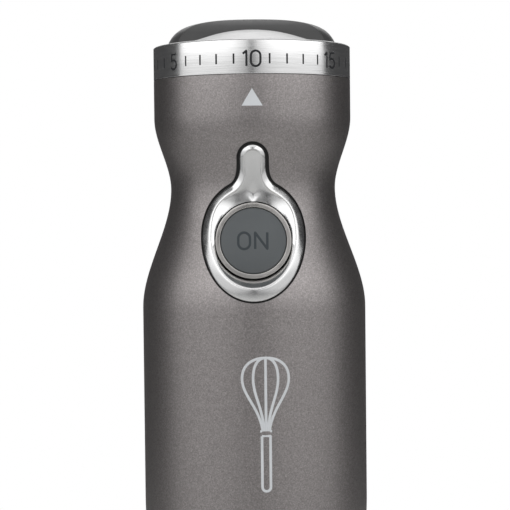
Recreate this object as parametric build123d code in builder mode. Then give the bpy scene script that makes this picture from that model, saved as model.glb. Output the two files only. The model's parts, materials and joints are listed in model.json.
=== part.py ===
from build123d import *
import math
import os

# An immersion blender that stands on the rim of its blade bell.
# Frame: +Z up the blender's axis, z = 0 on the bell's rim, the ON button faces -Y.
# All sizes are in millimetres.

os.makedirs("parts", exist_ok=True)

# ---------------------------------------------------------------- driving dimensions
# Lengths along the axis
attachment_length = 192.0   # bell rim to the parting line under the housing
collar_height = 10.0        # plastic collar above the parting line
trim_height = 2.0           # metal trim band above the collar
hem_length = 2.0            # straight stretch at the shell's lower edge
taper_length = 62.0         # lower taper, from the hem to the belly
belly_length = 54.5         # nearly straight stretch that the palm holds
shoulder_length = 34.0      # upper taper, from the belly in to the waist
neck_length = 20.0          # from the waist out to the head
head_length = 10.6          # straight stretch under the dial
dial_gap = 0.3              # seam between the shell and the dial
dial_height = 9.2           # brushed wall of the dial
dial_shoulder = 1.25        # rounded step from the dial's wall to its top
crown_rise = 4.05           # dome on top of the dial
grip_rise = 7.5             # glossy grip above the dial's wall

# Radii of the housing
hem_radius = 25.5
grip_radius = 32.0
waist_radius = 23.55
head_radius = 28.14
wall = 2.4

# Fits
fit_gap = 0.05              # between pieces of one body
run_gap = 0.03              # radial play of a shaft in its bearing
free_gap = 0.3              # between pieces that move past each other

# Dial
grip_end_radius = 24.25
grip_lean = 2.4             # how far the grip's ends lean in
grip_half_width = 12.5      # half the grip's width at its ends, front to back
scoop_radius = 95.0         # hollow of the grip's two long sides
scoop_depth = 2.3
dial_wall = 2.0
spindle_radius = 3.0
speed_steps = 20
step_angle = 10.0

# Button and its keyhole bezel
button_drop = 14.4          # button's axis below the waist
button_pad_radius = 9.08
button_rim_width = 1.32
button_face = 27.0          # distance of the button's face from the blender's axis
button_travel = 2.0
button_pad_depth = 2.6
bezel_half_width = 14.03
bezel_below = 16.4          # bezel's lower edge below the button's axis
bezel_lift = 1.0            # its widest line above the button's axis
spout_half_width = 3.6
spout_length = 26.2         # button's axis to the spout's top
neck_half_width = 6.3       # where the egg turns into the spout
neck_rise = 14.85           # and its height above the button's axis
bezel_proud = 0.7
bezel_depth = 3.4
gasket_width = 0.85         # beside the spout; about half that round the egg
dish_depth = 1.5

# Release levers
lever_width = 13.0
lever_height = 14.0
lever_rise = 11.0           # lever's lower edge above the shell's lower edge
lever_corner = 3.5
lever_proud = 0.8
lever_gap = 0.9
lever_arm_width = 7.0
lever_arm_thickness = 1.6
lever_pin_radius = 0.8
lever_pin_drop = 4.0        # pin below the lever's pad

# Coupling between the housing and the attachment
socket_radius = 19.0
socket_depth = 24.0
socket_roof = 3.0
spigot_length = 22.0
groove_depth = 1.6
groove_height = 7.0
dog_radius = 8.5
dog_length = 11.0
spline_radius = 5.2
spline_teeth = 6
spline_tooth_radius = 1.3
spline_length = 7.0

# Motor
shaft_radius = 3.0
bearing_radius = 8.0
bearing_width = 5.0
chassis_wall = 1.6
chassis_gap = 0.6
fan_height = 9.0
fan_blades = 11
core_length = 28.0
armature_radius = 13.2
armature_slots = 12
air_gap = 0.5
end_turn = 6.0
commutator_radius = 8.0
commutator_length = 11.0
brush_width = 5.0
brush_length = 8.0

# Attachment
bell_radius = 33.0
bell_height = 56.0
bell_wall = 1.2
bell_vents = 4
vent_width = 15.0
vent_height = 10.0
tube_lower_radius = 12.5
tube_upper_radius = 16.4
tube_wall = 0.9
collar_skirt = 24.0         # collar of the attachment, below the parting line
tube_grip = 14.0            # tube's length inside that collar
blade_height = 14.0         # blade's plane above the rim
blade_radius = 25.5
blade_thickness = 1.4
blade_bend = 13.0           # one wing bent up and one down, in degrees
blade_hub_radius = 5.5
blade_hub_height = 6.0

# Cord inlet
cord_bore = 3.6
gland_radius = 5.5
gland_drop = 15.1           # gland's axis below the shell's top edge
gland_proud = 2.6
gland_length = 10.5

# ---------------------------------------------------------------- derived places
parting_z = attachment_length
trim_z = parting_z + collar_height
shell_z = trim_z + trim_height
hem_z = shell_z + hem_length
belly_z = hem_z + taper_length
shoulder_z = belly_z + belly_length
waist_z = shoulder_z + shoulder_length
head_z = waist_z + neck_length
shell_top_z = head_z + head_length
dial_z = shell_top_z + dial_gap
dial_top_z = dial_z + dial_height
button_z = waist_z - button_drop
bezel_middle_z = button_z + bezel_lift
reach = 2 * grip_radius


def smooth_step(t):
    """Share of the way across a blend whose ends are both parallel to the axis."""
    return 3 * t**2 - 2 * t**3


def housing_radius(z):
    """Radius of the housing's outer face at height z."""
    if z < hem_z:
        return hem_radius
    if z < belly_z:
        return hem_radius + (grip_radius - hem_radius) * smooth_step((z - hem_z) / taper_length)
    if z < shoulder_z:
        return grip_radius
    if z < waist_z:
        return grip_radius + (waist_radius - grip_radius) * smooth_step((z - shoulder_z) / shoulder_length)
    if z < head_z:
        return waist_radius + (head_radius - waist_radius) * smooth_step((z - waist_z) / neck_length)
    return head_radius


def blend(lower, upper):
    """Control points of a curve between two points that leaves each one straight along the axis."""
    third = (upper[1] - lower[1]) / 3
    return [lower, (lower[0], lower[1] + third), (upper[0], upper[1] - third), upper]


def housing_side(inset):
    """Draws one side of the housing, from its lower edge to its top edge, inset from the outer face."""
    hem = hem_radius - inset
    belly = grip_radius - inset
    waist = waist_radius - inset
    head = head_radius - inset
    Line((hem, shell_z), (hem, hem_z))
    Bezier(*blend((hem, hem_z), (belly, belly_z)))
    Line((belly, belly_z), (belly, shoulder_z))
    Bezier(*blend((belly, shoulder_z), (waist, waist_z)))
    Bezier(*blend((waist, waist_z), (head, head_z)))
    Line((head, head_z), (head, shell_top_z))


def housing_band(outer_inset, inner_inset):
    """Draws the closed section of a layer that follows the housing's outer face."""
    housing_side(outer_inset)
    housing_side(inner_inset)
    Line((hem_radius - outer_inset, shell_z), (hem_radius - inner_inset, shell_z))
    Line((head_radius - outer_inset, shell_top_z), (head_radius - inner_inset, shell_top_z))


def keyhole(grow):
    """Draws the bezel's keyhole outline: an egg, grown by half of `grow`, with a spout grown by all of it."""
    side = bezel_half_width + grow / 2
    bottom_z = button_z - bezel_below - grow / 2
    spout = spout_half_width + grow
    spout_z = button_z + spout_length - spout_half_width
    neck = (neck_half_width + 0.4 * grow, button_z + neck_rise + 0.7 * grow)
    neck_end_z = neck[1] + 5.3 + 0.2 * grow
    below = bezel_middle_z - bottom_z
    quarter = 0.5523
    for s in (1, -1):
        Bezier(
            (0, bottom_z),
            (s * quarter * side, bottom_z),
            (s * side, bezel_middle_z - quarter * below),
            (s * side, bezel_middle_z),
        )
        Bezier(
            (s * side, bezel_middle_z),
            (s * side, bezel_middle_z + 7.2),
            (s * (neck[0] + 4.4), neck[1] - 2.45),
            (s * neck[0], neck[1]),
        )
        Bezier(
            (s * neck[0], neck[1]),
            (s * (neck[0] - 1.6), neck[1] + 0.9),
            (s * spout, neck[1] + 2.65),
            (s * spout, neck_end_z),
        )
        Line((s * spout, neck_end_z), (s * spout, spout_z))
    CenterArc((0, spout_z), spout, 0, 180)


def coil_spring(base, length, radius, wire_radius, turns):
    """Builds a compression spring that stands on the plane `base` and fills `length`."""
    rise = length - 2 * wire_radius
    with BuildPart() as coil:
        with BuildLine() as path:
            start = base.origin + base.z_dir * wire_radius
            Helix(pitch=rise / turns, height=rise, radius=radius, center=start, direction=base.z_dir)
        with BuildSketch(Plane(origin=path.line @ 0, z_dir=path.line % 0)):
            Circle(wire_radius)
        sweep(path=path.line, is_frenet=True)
    return coil


# ================================================================ housing

lever_z = shell_z + lever_rise
lever_middle_z = lever_z + lever_height / 2
gland_z = shell_top_z - gland_drop
deck_thickness = 2.5
deck_top_z = shell_top_z - 2.0
deck_z = deck_top_z - deck_thickness
ledge_width = 1.9
ledge_height = 2.0

with BuildPart() as housing_shell:
    with BuildSketch(Plane.XZ):
        with BuildLine():
            housing_band(0, wall)
        make_face()
    revolve(axis=Axis.Z)
    with BuildSketch(Plane.XY.offset(deck_z - ledge_height)):
        Circle(head_radius - wall / 2)
        Circle(head_radius - wall - ledge_width, mode=Mode.SUBTRACT)
    extrude(amount=ledge_height)
    with BuildSketch(Plane.XZ):
        with BuildLine():
            keyhole(gasket_width)
        make_face()
    extrude(amount=reach, mode=Mode.SUBTRACT)
    with BuildSketch(Plane.YZ):
        with Locations((0, lever_middle_z)):
            RectangleRounded(lever_width + 2 * lever_gap, lever_height + 2 * lever_gap, lever_corner)
    extrude(amount=reach, both=True, mode=Mode.SUBTRACT)
    with BuildSketch(Plane.XZ):
        with Locations((0, gland_z)):
            Circle(gland_radius + fit_gap)
    extrude(amount=-reach, mode=Mode.SUBTRACT)
housing_shell.part.label = "housing_shell"
export_step(housing_shell.part, "parts/housing_shell.step")

# The gasket is the thin dark line round the bezel, a little below the painted face.
gasket_sink = 0.35

with BuildPart() as bezel_gasket:
    with BuildSketch(Plane.XZ):
        with BuildLine():
            housing_band(gasket_sink, wall)
        make_face()
    revolve(axis=Axis.Z)
    with BuildSketch(Plane.XZ):
        with BuildLine():
            keyhole(gasket_width - fit_gap)
        make_face()
    extrude(amount=reach, mode=Mode.INTERSECT)
    with BuildSketch(Plane.XZ):
        with BuildLine():
            keyhole(fit_gap)
        make_face()
    extrude(amount=reach, mode=Mode.SUBTRACT)
bezel_gasket.part.label = "bezel_gasket"
export_step(bezel_gasket.part, "parts/bezel_gasket.step")

# The bezel's hole guides the button; a shallow dish runs down to the button's rim.
button_radius = button_pad_radius + button_rim_width
dish_top = 4.2              # dish's edge outside the hole
dish_level = 7.0            # height over which the dish opens

with BuildPart() as button_bezel:
    with BuildSketch(Plane.XZ):
        with BuildLine():
            housing_band(-bezel_proud, bezel_depth)
        make_face()
    revolve(axis=Axis.Z)
    with BuildSketch(Plane.XZ):
        with BuildLine():
            keyhole(0)
        make_face()
    extrude(amount=reach, mode=Mode.INTERSECT)
    with BuildSketch(Plane.XZ):
        with Locations((0, button_z)):
            Circle(button_radius + free_gap)
    extrude(amount=reach, mode=Mode.SUBTRACT)
    with BuildSketch(Plane.XZ.offset(button_face - dish_depth)):
        with Locations((0, button_z)):
            Circle(button_radius + free_gap)
    dish_taper = math.degrees(math.atan(dish_top / dish_level))
    extrude(amount=dish_level, taper=-dish_taper, mode=Mode.SUBTRACT)
button_bezel.part.label = "button_bezel"
export_step(button_bezel.part, "parts/button_bezel.step")

# Lower collar and trim band, both pierced for the lever arms
lever_arm_slot = lever_arm_width / 2 + 0.5
lever_arm_x = socket_radius + 0.5
lever_pin_x = lever_arm_x + lever_arm_thickness
lever_pin_z = lever_z - lever_pin_drop
lever_foot_z = parting_z + 6.0
slot_reach = hem_radius - 1.2
slot_floor_z = lever_foot_z - 1.5

with BuildPart() as lower_collar:
    with BuildSketch(Plane.XY.offset(parting_z)):
        Circle(hem_radius)
        Circle(socket_radius, mode=Mode.SUBTRACT)
    extrude(amount=collar_height)
    fillet(lower_collar.faces().sort_by(Axis.Z)[0].outer_wire().edges(), radius=0.8)
    with BuildSketch(Plane.XY.offset(slot_floor_z)):
        Rectangle(2 * slot_reach, 2 * lever_arm_slot)
    extrude(amount=trim_z - slot_floor_z, mode=Mode.SUBTRACT)
lower_collar.part.label = "lower_collar"
export_step(lower_collar.part, "parts/lower_collar.step")

trim_proud = 0.25

with BuildPart() as trim_band:
    with BuildSketch(Plane.XY.offset(trim_z)):
        Circle(hem_radius + trim_proud)
        Circle(hem_radius - wall, mode=Mode.SUBTRACT)
    extrude(amount=trim_height)
    fillet(trim_band.faces().sort_by(SortBy.AREA)[-1].edges().filter_by(GeomType.CIRCLE), radius=0.5)
trim_band.part.label = "trim_band"
export_step(trim_band.part, "parts/trim_band.step")

# Coupling socket: takes the attachment's spigot below and the lower motor bearing above
socket_outer = hem_radius - wall - fit_gap
socket_roof_z = parting_z + socket_depth
roof_top_z = socket_roof_z + socket_roof
bearing_z = roof_top_z + 0.5
boss_radius = bearing_radius + 3.0
boss_top_z = bearing_z + bearing_width + 0.5
skirt_wall = 2.5
chassis_z = lever_z + lever_height + 4.0
seal_radius = 6.0
spring_length = 2.9
spring_x = lever_arm_x - fit_gap - spring_length
post_size = 6.0
lever_pocket_z = lever_z - 2 * lever_gap
lever_pocket_top_z = lever_z + lever_height + 2 * lever_gap
lever_pocket_depth = 3.0
arm_slot_depth = 9.0
arm_slot_x = lever_arm_x + arm_slot_depth / 2 - 2.0

with BuildPart() as coupling_socket:
    with BuildSketch(Plane.XY.offset(trim_z)):
        Circle(socket_outer)
        Circle(socket_radius, mode=Mode.SUBTRACT)
    extrude(amount=roof_top_z - trim_z)
    with BuildSketch(Plane.XY.offset(socket_roof_z)):
        Circle(socket_outer)
        Circle(seal_radius, mode=Mode.SUBTRACT)
    extrude(amount=socket_roof)
    with BuildSketch(Plane.XY.offset(roof_top_z)):
        Circle(socket_outer)
        Circle(socket_outer - skirt_wall, mode=Mode.SUBTRACT)
    extrude(amount=chassis_z - roof_top_z)
    with BuildSketch(Plane.XY.offset(roof_top_z)):
        Circle(boss_radius)
        Circle(bearing_radius + fit_gap, mode=Mode.SUBTRACT)
    extrude(amount=boss_top_z - roof_top_z)
    with BuildSketch(Plane.XY.offset(roof_top_z)):
        with Locations((spring_x - post_size / 3, 0), (post_size / 3 - spring_x, 0)):
            Rectangle(post_size * 2 / 3, post_size)
    extrude(amount=boss_top_z + 1.0 - roof_top_z)
    with BuildSketch(Plane.XY.offset(trim_z)):
        with Locations((arm_slot_x, 0), (-arm_slot_x, 0)):
            Rectangle(arm_slot_depth, 2 * lever_arm_slot)
    extrude(amount=lever_pocket_top_z - trim_z, mode=Mode.SUBTRACT)
    with BuildSketch(Plane.XY.offset(lever_pocket_z)):
        with Locations((socket_outer, 0), (-socket_outer, 0)):
            Rectangle(2 * lever_pocket_depth, lever_width + 2 * lever_gap)
    extrude(amount=lever_pocket_top_z - lever_pocket_z, mode=Mode.SUBTRACT)
    with BuildSketch(Plane.XZ):
        with Locations((lever_pin_x, lever_pin_z), (-lever_pin_x, lever_pin_z)):
            Circle(lever_pin_radius + fit_gap)
    extrude(amount=lever_width / 2, both=True, mode=Mode.SUBTRACT)
coupling_socket.part.label = "coupling_socket"
export_step(coupling_socket.part, "parts/coupling_socket.step")

with BuildPart() as shaft_seal:
    with BuildSketch(Plane.XY.offset(socket_roof_z)):
        Circle(seal_radius - fit_gap)
        Circle(shaft_radius + 2 * run_gap, mode=Mode.SUBTRACT)
    extrude(amount=socket_roof)
shaft_seal.part.label = "shaft_seal"
export_step(shaft_seal.part, "parts/shaft_seal.step")

# ================================================================ release levers

lever_foot_height = 4.0
lever_block_x = lever_arm_x + lever_arm_thickness / 2
lever_boss_radius = lever_pin_radius + 0.8
lever_depth = 3.0
lever_nose = 0.55           # the foot's nose, towards the spigot's groove
block_top_z = lever_middle_z + 3.5
block_foot_z = lever_z + 0.5
block_reach = housing_radius(lever_z) - lever_depth + 0.6 - lever_block_x
pin_length = lever_width - 1.0
spring_radius = 1.9
spring_z = roof_top_z + 3.5

for side_name, side in (("right", 1), ("left", -1)):
    with BuildPart() as release_lever:
        with BuildSketch(Plane.XZ):
            with BuildLine():
                housing_band(-lever_proud, lever_depth)
            make_face()
        revolve(axis=Axis.Z)
        with BuildSketch(Plane.YZ):
            with Locations((0, lever_middle_z)):
                RectangleRounded(lever_width, lever_height, lever_corner - lever_gap)
        extrude(amount=side * reach, mode=Mode.INTERSECT)
        with BuildSketch(Plane.XZ):
            with Locations((side * lever_block_x, (lever_foot_z + block_top_z) / 2)):
                Rectangle(lever_arm_thickness, block_top_z - lever_foot_z)
            with Locations((side * lever_pin_x, lever_pin_z)):
                Circle(lever_boss_radius)
            with Locations((side * (lever_arm_x + (0.2 - lever_nose) / 2), lever_foot_z + lever_foot_height / 2)):
                Rectangle(lever_nose + 0.2, lever_foot_height)
            with Locations((side * (lever_block_x + block_reach / 2), (block_foot_z + block_top_z) / 2)):
                Rectangle(block_reach, block_top_z - block_foot_z)
            with Locations((side * lever_pin_x, lever_pin_z)):
                Circle(lever_pin_radius + fit_gap, mode=Mode.SUBTRACT)
        extrude(amount=lever_arm_width / 2, both=True)
    release_lever.part.label = f"release_lever_{side_name}"
    export_step(release_lever.part, f"parts/release_lever_{side_name}.step")

    # The spring pushes the lever's upper end outwards, off the socket's post.
    spring_base = Plane((side * spring_x, 0, spring_z), x_dir=(0, 1, 0), z_dir=(side, 0, 0))
    lever_spring = coil_spring(spring_base, spring_length, spring_radius, 0.22, 3.5)
    lever_spring.part.label = f"lever_spring_{side_name}"
    export_step(lever_spring.part, f"parts/lever_spring_{side_name}.step")

with BuildPart() as lever_pins:
    with BuildSketch(Plane.XZ):
        with Locations((lever_pin_x, lever_pin_z), (-lever_pin_x, lever_pin_z)):
            Circle(lever_pin_radius)
    extrude(amount=pin_length / 2, both=True)
lever_pins.part.label = "lever_pins"
export_step(lever_pins.part, "parts/lever_pins.step")

# ================================================================ motor

fan_z = chassis_z + 4.5
core_z = fan_z + fan_height + 3.5 + end_turn
core_top_z = core_z + core_length
commutator_z = core_top_z + end_turn + 3.0
commutator_top_z = commutator_z + commutator_length
bracket_z = commutator_top_z + 2.0
bracket_thickness = 3.0
upper_bearing_z = bracket_z + 0.5
shaft_top_z = upper_bearing_z + bearing_width + 1.5
chassis_top_z = bracket_z + bearing_width + 4.0
chassis_radius = housing_radius(chassis_z) - wall - chassis_gap
chassis_bore = chassis_radius - chassis_wall
fan_radius = chassis_bore - 1.0
boss_offset = chassis_radius + 0.9
screw_boss_radius = 2.0
screw_radius = 1.0
screw_head_radius = 1.8
screw_boss_length = 4.5
screw_head = 1.4
screw_zs = (core_z + 8.0, commutator_top_z)
flange_bore = socket_outer - skirt_wall - 1.5
half_names = (("front", -1), ("rear", 1))

for half_name, side in half_names:
    with BuildPart() as chassis:
        with BuildSketch(Plane.XY.offset(chassis_z)):
            Circle(chassis_radius)
            Circle(flange_bore, mode=Mode.SUBTRACT)
        extrude(amount=2.0)
        with BuildSketch(Plane.XY.offset(chassis_z + 2.0)):
            Circle(chassis_radius)
            Circle(chassis_bore, mode=Mode.SUBTRACT)
        extrude(amount=chassis_top_z - chassis_z - 2.0)
        for screw_z in screw_zs:
            with BuildSketch(Plane.XZ):
                with Locations((boss_offset, screw_z), (-boss_offset, screw_z)):
                    Circle(screw_boss_radius)
            extrude(amount=screw_boss_length, both=True)
            with BuildSketch(Plane.XZ):
                with Locations((boss_offset, screw_z), (-boss_offset, screw_z)):
                    Circle(screw_radius + fit_gap)
            extrude(amount=screw_boss_length, both=True, mode=Mode.SUBTRACT)
            with BuildSketch(Plane.XZ.offset(screw_boss_length)):
                with Locations((boss_offset, screw_z), (-boss_offset, screw_z)):
                    Circle(screw_head_radius + fit_gap)
            extrude(amount=2 * screw_head, mode=Mode.SUBTRACT)
        with BuildSketch(Plane.XY.offset(chassis_z)):
            with Locations((0, -side * reach / 2)):
                Rectangle(2 * reach, reach)
        extrude(amount=chassis_top_z - chassis_z, mode=Mode.SUBTRACT)
        # Cooling slots beside the fan
        with BuildSketch(Plane.XZ):
            with GridLocations(9, 0, 3, 1):
                with Locations((0, fan_z + fan_height / 2)):
                    SlotOverall(fan_height, 3.0, rotation=90)
        extrude(amount=-side * reach, mode=Mode.SUBTRACT)
        with BuildSketch(Plane.XY.offset(core_z - end_turn)):
            Circle(chassis_bore)
        extrude(amount=chassis_top_z - core_z + end_turn, mode=Mode.SUBTRACT)
    chassis.part.label = f"chassis_{half_name}"
    export_step(chassis.part, f"parts/chassis_{half_name}.step")

with BuildPart() as chassis_screws:
    for screw_z in screw_zs:
        with BuildSketch(Plane.XZ):
            with Locations((boss_offset, screw_z), (-boss_offset, screw_z)):
                Circle(screw_radius)
        extrude(amount=screw_boss_length, both=True)
        with BuildSketch(Plane.XZ.offset(screw_boss_length)):
            with Locations((boss_offset, screw_z), (-boss_offset, screw_z)):
                Circle(screw_head_radius)
                RegularPolygon(screw_radius * 0.8, 6, mode=Mode.SUBTRACT)
        extrude(amount=screw_head)
chassis_screws.part.label = "chassis_screws"
export_step(chassis_screws.part, "parts/chassis_screws.step")

# Universal motor: stator with two wound poles, and the armature on its shaft
stator_radius = chassis_bore - fit_gap
stator_bore = armature_radius + air_gap
pole_half_width = 7.0
coil_width = 4.5
coil_x = stator_bore + 0.4
coil_depth = 3.4
coil_corner = 1.5
slot_margin = 0.2
yoke_slot = 10.0

with BuildPart() as stator_core:
    with BuildSketch(Plane.XY.offset(core_z)):
        Circle(stator_radius)
        Circle(stator_bore, mode=Mode.SUBTRACT)
        for side_x in (1, -1):
            for side_y in (1, -1):
                slot_x = side_x * (coil_x + coil_depth / 2)
                slot_y = side_y * (pole_half_width + coil_width / 2)
                with Locations((slot_x, slot_y)):
                    Rectangle(coil_depth + slot_margin, coil_width + slot_margin, mode=Mode.SUBTRACT)
        with Locations((0, stator_bore + 1.5), (0, -stator_bore - 1.5)):
            Rectangle(yoke_slot, 6.0, mode=Mode.SUBTRACT)
    extrude(amount=core_length)
stator_core.part.label = "stator_core"
export_step(stator_core.part, "parts/stator_core.step")

coil_overhang = coil_width
with BuildPart() as field_coils:
    for side in (1, -1):
        with BuildSketch(Plane.YZ.offset(side * coil_x)):
            with Locations((0, core_z + core_length / 2)):
                RectangleRounded(
                    2 * (pole_half_width + coil_width),
                    core_length + 2 * coil_overhang + 1.0,
                    coil_width,
                )
                RectangleRounded(
                    2 * pole_half_width + slot_margin,
                    core_length + 1.0,
                    coil_corner * 0.2,
                    mode=Mode.SUBTRACT,
                )
        extrude(amount=side * coil_depth)
field_coils.part.label = "field_coils"
export_step(field_coils.part, "parts/field_coils.step")

winding_bar = 1.7
winding_circle = armature_radius - 2.8
slot_opening = 1.2

with BuildPart() as armature_core:
    with BuildSketch(Plane.XY.offset(core_z)):
        Circle(armature_radius)
        Circle(shaft_radius + fit_gap, mode=Mode.SUBTRACT)
        with PolarLocations(winding_circle, armature_slots):
            Circle(winding_bar + fit_gap, mode=Mode.SUBTRACT)
        with PolarLocations(armature_radius - 0.6, armature_slots):
            Rectangle(2.6, slot_opening, mode=Mode.SUBTRACT)
    extrude(amount=core_length)
armature_core.part.label = "armature_core"
export_step(armature_core.part, "parts/armature_core.step")

turn_inner = shaft_radius + 2.0
turn_outer = winding_circle + winding_bar + 0.4

with BuildPart() as armature_windings:
    with BuildSketch(Plane.XZ):
        for turn_z in (core_z - end_turn / 2, core_top_z + end_turn / 2):
            with Locations(((turn_inner + turn_outer) / 2, turn_z)):
                RectangleRounded(turn_outer - turn_inner, end_turn - 2 * fit_gap, 1.5)
    revolve(axis=Axis.Z)
    with BuildSketch(Plane.XY.offset(core_z - 1.0)):
        with PolarLocations(winding_circle, armature_slots):
            Circle(winding_bar)
    extrude(amount=core_length + 2.0)
armature_windings.part.label = "armature_windings"
export_step(armature_windings.part, "parts/armature_windings.step")

dog_z = socket_roof_z - 1.0 - dog_length
dog_floor_z = dog_z + spline_length + 0.8

with BuildPart() as rotor_shaft:
    with BuildSketch(Plane.XY.offset(dog_floor_z + 0.3)):
        Circle(shaft_radius)
    extrude(amount=shaft_top_z - dog_floor_z - 0.3)
    chamfer(rotor_shaft.faces().sort_by(Axis.Z)[-1].edges(), length=0.5)
rotor_shaft.part.label = "rotor_shaft"
export_step(rotor_shaft.part, "parts/rotor_shaft.step")

with BuildPart() as commutator:
    with BuildSketch(Plane.XY.offset(commutator_z)):
        Circle(commutator_radius)
        Circle(shaft_radius + fit_gap, mode=Mode.SUBTRACT)
        with PolarLocations(commutator_radius, 2 * armature_slots):
            Rectangle(1.6, 0.5, mode=Mode.SUBTRACT)
    extrude(amount=commutator_length)
    with BuildSketch(Plane.XY.offset(commutator_z - 1.5)):
        Circle(commutator_radius + 1.4)
        Circle(shaft_radius + fit_gap, mode=Mode.SUBTRACT)
    extrude(amount=1.5)
commutator.part.label = "commutator"
export_step(commutator.part, "parts/commutator.step")

with BuildPart() as cooling_fan:
    with BuildSketch(Plane.XY.offset(fan_z)):
        Circle(fan_radius)
        Circle(shaft_radius + fit_gap, mode=Mode.SUBTRACT)
    extrude(amount=1.2)
    with BuildSketch(Plane.XY.offset(fan_z)):
        Circle(shaft_radius + 2.5)
        Circle(shaft_radius + fit_gap, mode=Mode.SUBTRACT)
    extrude(amount=fan_height)
    with BuildSketch(Plane.XY.offset(fan_z + 1.0)):
        with PolarLocations((fan_radius + 8.0) / 2, fan_blades):
            Rectangle(fan_radius - 9.0, 1.0, rotation=14)
    extrude(amount=fan_height - 1.0)
cooling_fan.part.label = "cooling_fan"
export_step(cooling_fan.part, "parts/cooling_fan.step")

with BuildPart() as upper_bracket:
    with BuildSketch(Plane.XY.offset(bracket_z)):
        Circle(chassis_bore - fit_gap)
        with PolarLocations(chassis_bore - 5.0, 6, start_angle=30):
            SlotOverall(9.0, 4.0, rotation=90, mode=Mode.SUBTRACT)
    extrude(amount=bracket_thickness)
    with BuildSketch(Plane.XY.offset(bracket_z)):
        Circle(bearing_radius + 2.0)
    extrude(amount=bearing_width + 1.0)
    with BuildSketch(Plane.XY.offset(bracket_z)):
        Circle(shaft_radius + 1.0)
    extrude(amount=reach, mode=Mode.SUBTRACT)
    with BuildSketch(Plane.XY.offset(upper_bearing_z)):
        Circle(bearing_radius + fit_gap)
    extrude(amount=reach, mode=Mode.SUBTRACT)
upper_bracket.part.label = "upper_bracket"
export_step(upper_bracket.part, "parts/upper_bracket.step")

shield_depth = 0.4
with BuildPart() as motor_bearings:
    for base_z in (bearing_z, upper_bearing_z):
        with BuildSketch(Plane.XY.offset(base_z)):
            Circle(bearing_radius)
            Circle(shaft_radius + run_gap, mode=Mode.SUBTRACT)
        extrude(amount=bearing_width)
        for shield_z in (base_z, base_z + bearing_width - shield_depth):
            with BuildSketch(Plane.XY.offset(shield_z)):
                Circle(bearing_radius - 1.4)
                Circle(shaft_radius + 1.4, mode=Mode.SUBTRACT)
            extrude(amount=shield_depth, mode=Mode.SUBTRACT)
motor_bearings.part.label = "motor_bearings"
export_step(motor_bearings.part, "parts/motor_bearings.step")

# Brush gear hangs under the upper bracket, one brush in front and one behind.
brush_start = commutator_radius + 2 * run_gap
brush_z = commutator_z + commutator_length / 2
holder_wall = 1.0
holder_start = brush_start + 1.5
holder_length = brush_length + 3.0
holder_bore = brush_width + 2 * fit_gap
holder_outer = holder_bore + 2 * holder_wall
holder_cap = 0.8            # closed outer end that the spring stands on

with BuildPart() as brush_holders:
    for side in (1, -1):
        with BuildSketch(Plane.XZ.offset(side * holder_start)):
            with Locations((0, brush_z)):
                Rectangle(holder_outer, holder_outer)
            with Locations((0, (brush_z + bracket_z) / 2)):
                Rectangle(2 * holder_wall, bracket_z - brush_z)
        extrude(amount=side * (holder_length + holder_cap))
        with BuildSketch(Plane.XZ.offset(side * holder_start)):
            with Locations((0, brush_z)):
                Rectangle(holder_bore, holder_bore)
        extrude(amount=side * holder_length, mode=Mode.SUBTRACT)
brush_holders.part.label = "brush_holders"
export_step(brush_holders.part, "parts/brush_holders.step")

with BuildPart() as carbon_brushes:
    for side in (1, -1):
        with BuildSketch(Plane.XZ.offset(side * brush_start)):
            with Locations((0, brush_z)):
                Rectangle(brush_width, brush_width)
        extrude(amount=side * brush_length)
carbon_brushes.part.label = "carbon_brushes"
export_step(carbon_brushes.part, "parts/carbon_brushes.step")

brush_spring_length = holder_start + holder_length - brush_start - brush_length - 2 * fit_gap
brush_back = Plane((0, -brush_start - brush_length - fit_gap, brush_z), x_dir=(1, 0, 0), z_dir=(0, -1, 0))
with BuildPart() as brush_springs:
    add(coil_spring(brush_back, brush_spring_length, 1.7, 0.2, 4))
    mirror(about=Plane.XZ)
brush_springs.part.label = "brush_springs"
export_step(brush_springs.part, "parts/brush_springs.step")

# The dog's pocket takes the splined end of the attachment's drive shaft.
with BuildPart() as drive_dog:
    with BuildSketch(Plane.XY.offset(dog_z)):
        Circle(dog_radius)
    extrude(amount=dog_length)
    chamfer(drive_dog.edges().sort_by(Axis.Z)[-1], length=1.0)
    with BuildSketch(Plane.XY.offset(dog_z)):
        Circle(spline_radius + free_gap)
        with PolarLocations(spline_radius, spline_teeth):
            Circle(spline_tooth_radius + free_gap)
    extrude(amount=dog_floor_z - dog_z, mode=Mode.SUBTRACT)
    with BuildSketch(Plane.XY.offset(dog_floor_z)):
        Circle(shaft_radius + fit_gap)
    extrude(amount=dog_length, mode=Mode.SUBTRACT)
drive_dog.part.label = "drive_dog"
export_step(drive_dog.part, "parts/drive_dog.step")

# ================================================================ speed control and button

frame_z = chassis_top_z
frame_plate = 2.0
board_y = 2.0
board_thickness = 1.6
board_half_width = 14.0
board_z = frame_z + frame_plate
board_top_z = waist_z + 4.0
rail_width = 2.6
rail_x = board_half_width + fit_gap + rail_width / 2
rail_depth = 7.0
shelf_z = gland_z - cord_bore - 2.4
shelf_thickness = 2.4
rear_y = board_y + board_thickness

with BuildPart() as board_frame:
    with BuildSketch(Plane.XY.offset(frame_z)):
        Circle(chassis_radius)
        Circle(bearing_radius + 4.0, mode=Mode.SUBTRACT)
    extrude(amount=frame_plate)
    with BuildSketch(Plane.XY.offset(frame_z)):
        with Locations((rail_x, rear_y), (-rail_x, rear_y)):
            Rectangle(rail_width, rail_depth)
    extrude(amount=shelf_z - frame_z)
    with BuildSketch(Plane.XY.offset(shelf_z - shelf_thickness)):
        with Locations((0, rear_y + 5.0)):
            Rectangle(2 * rail_x + rail_width, 10.0 + rail_depth - 7.0)
    extrude(amount=shelf_thickness)
board_frame.part.label = "board_frame"
export_step(board_frame.part, "parts/board_frame.step")

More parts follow.
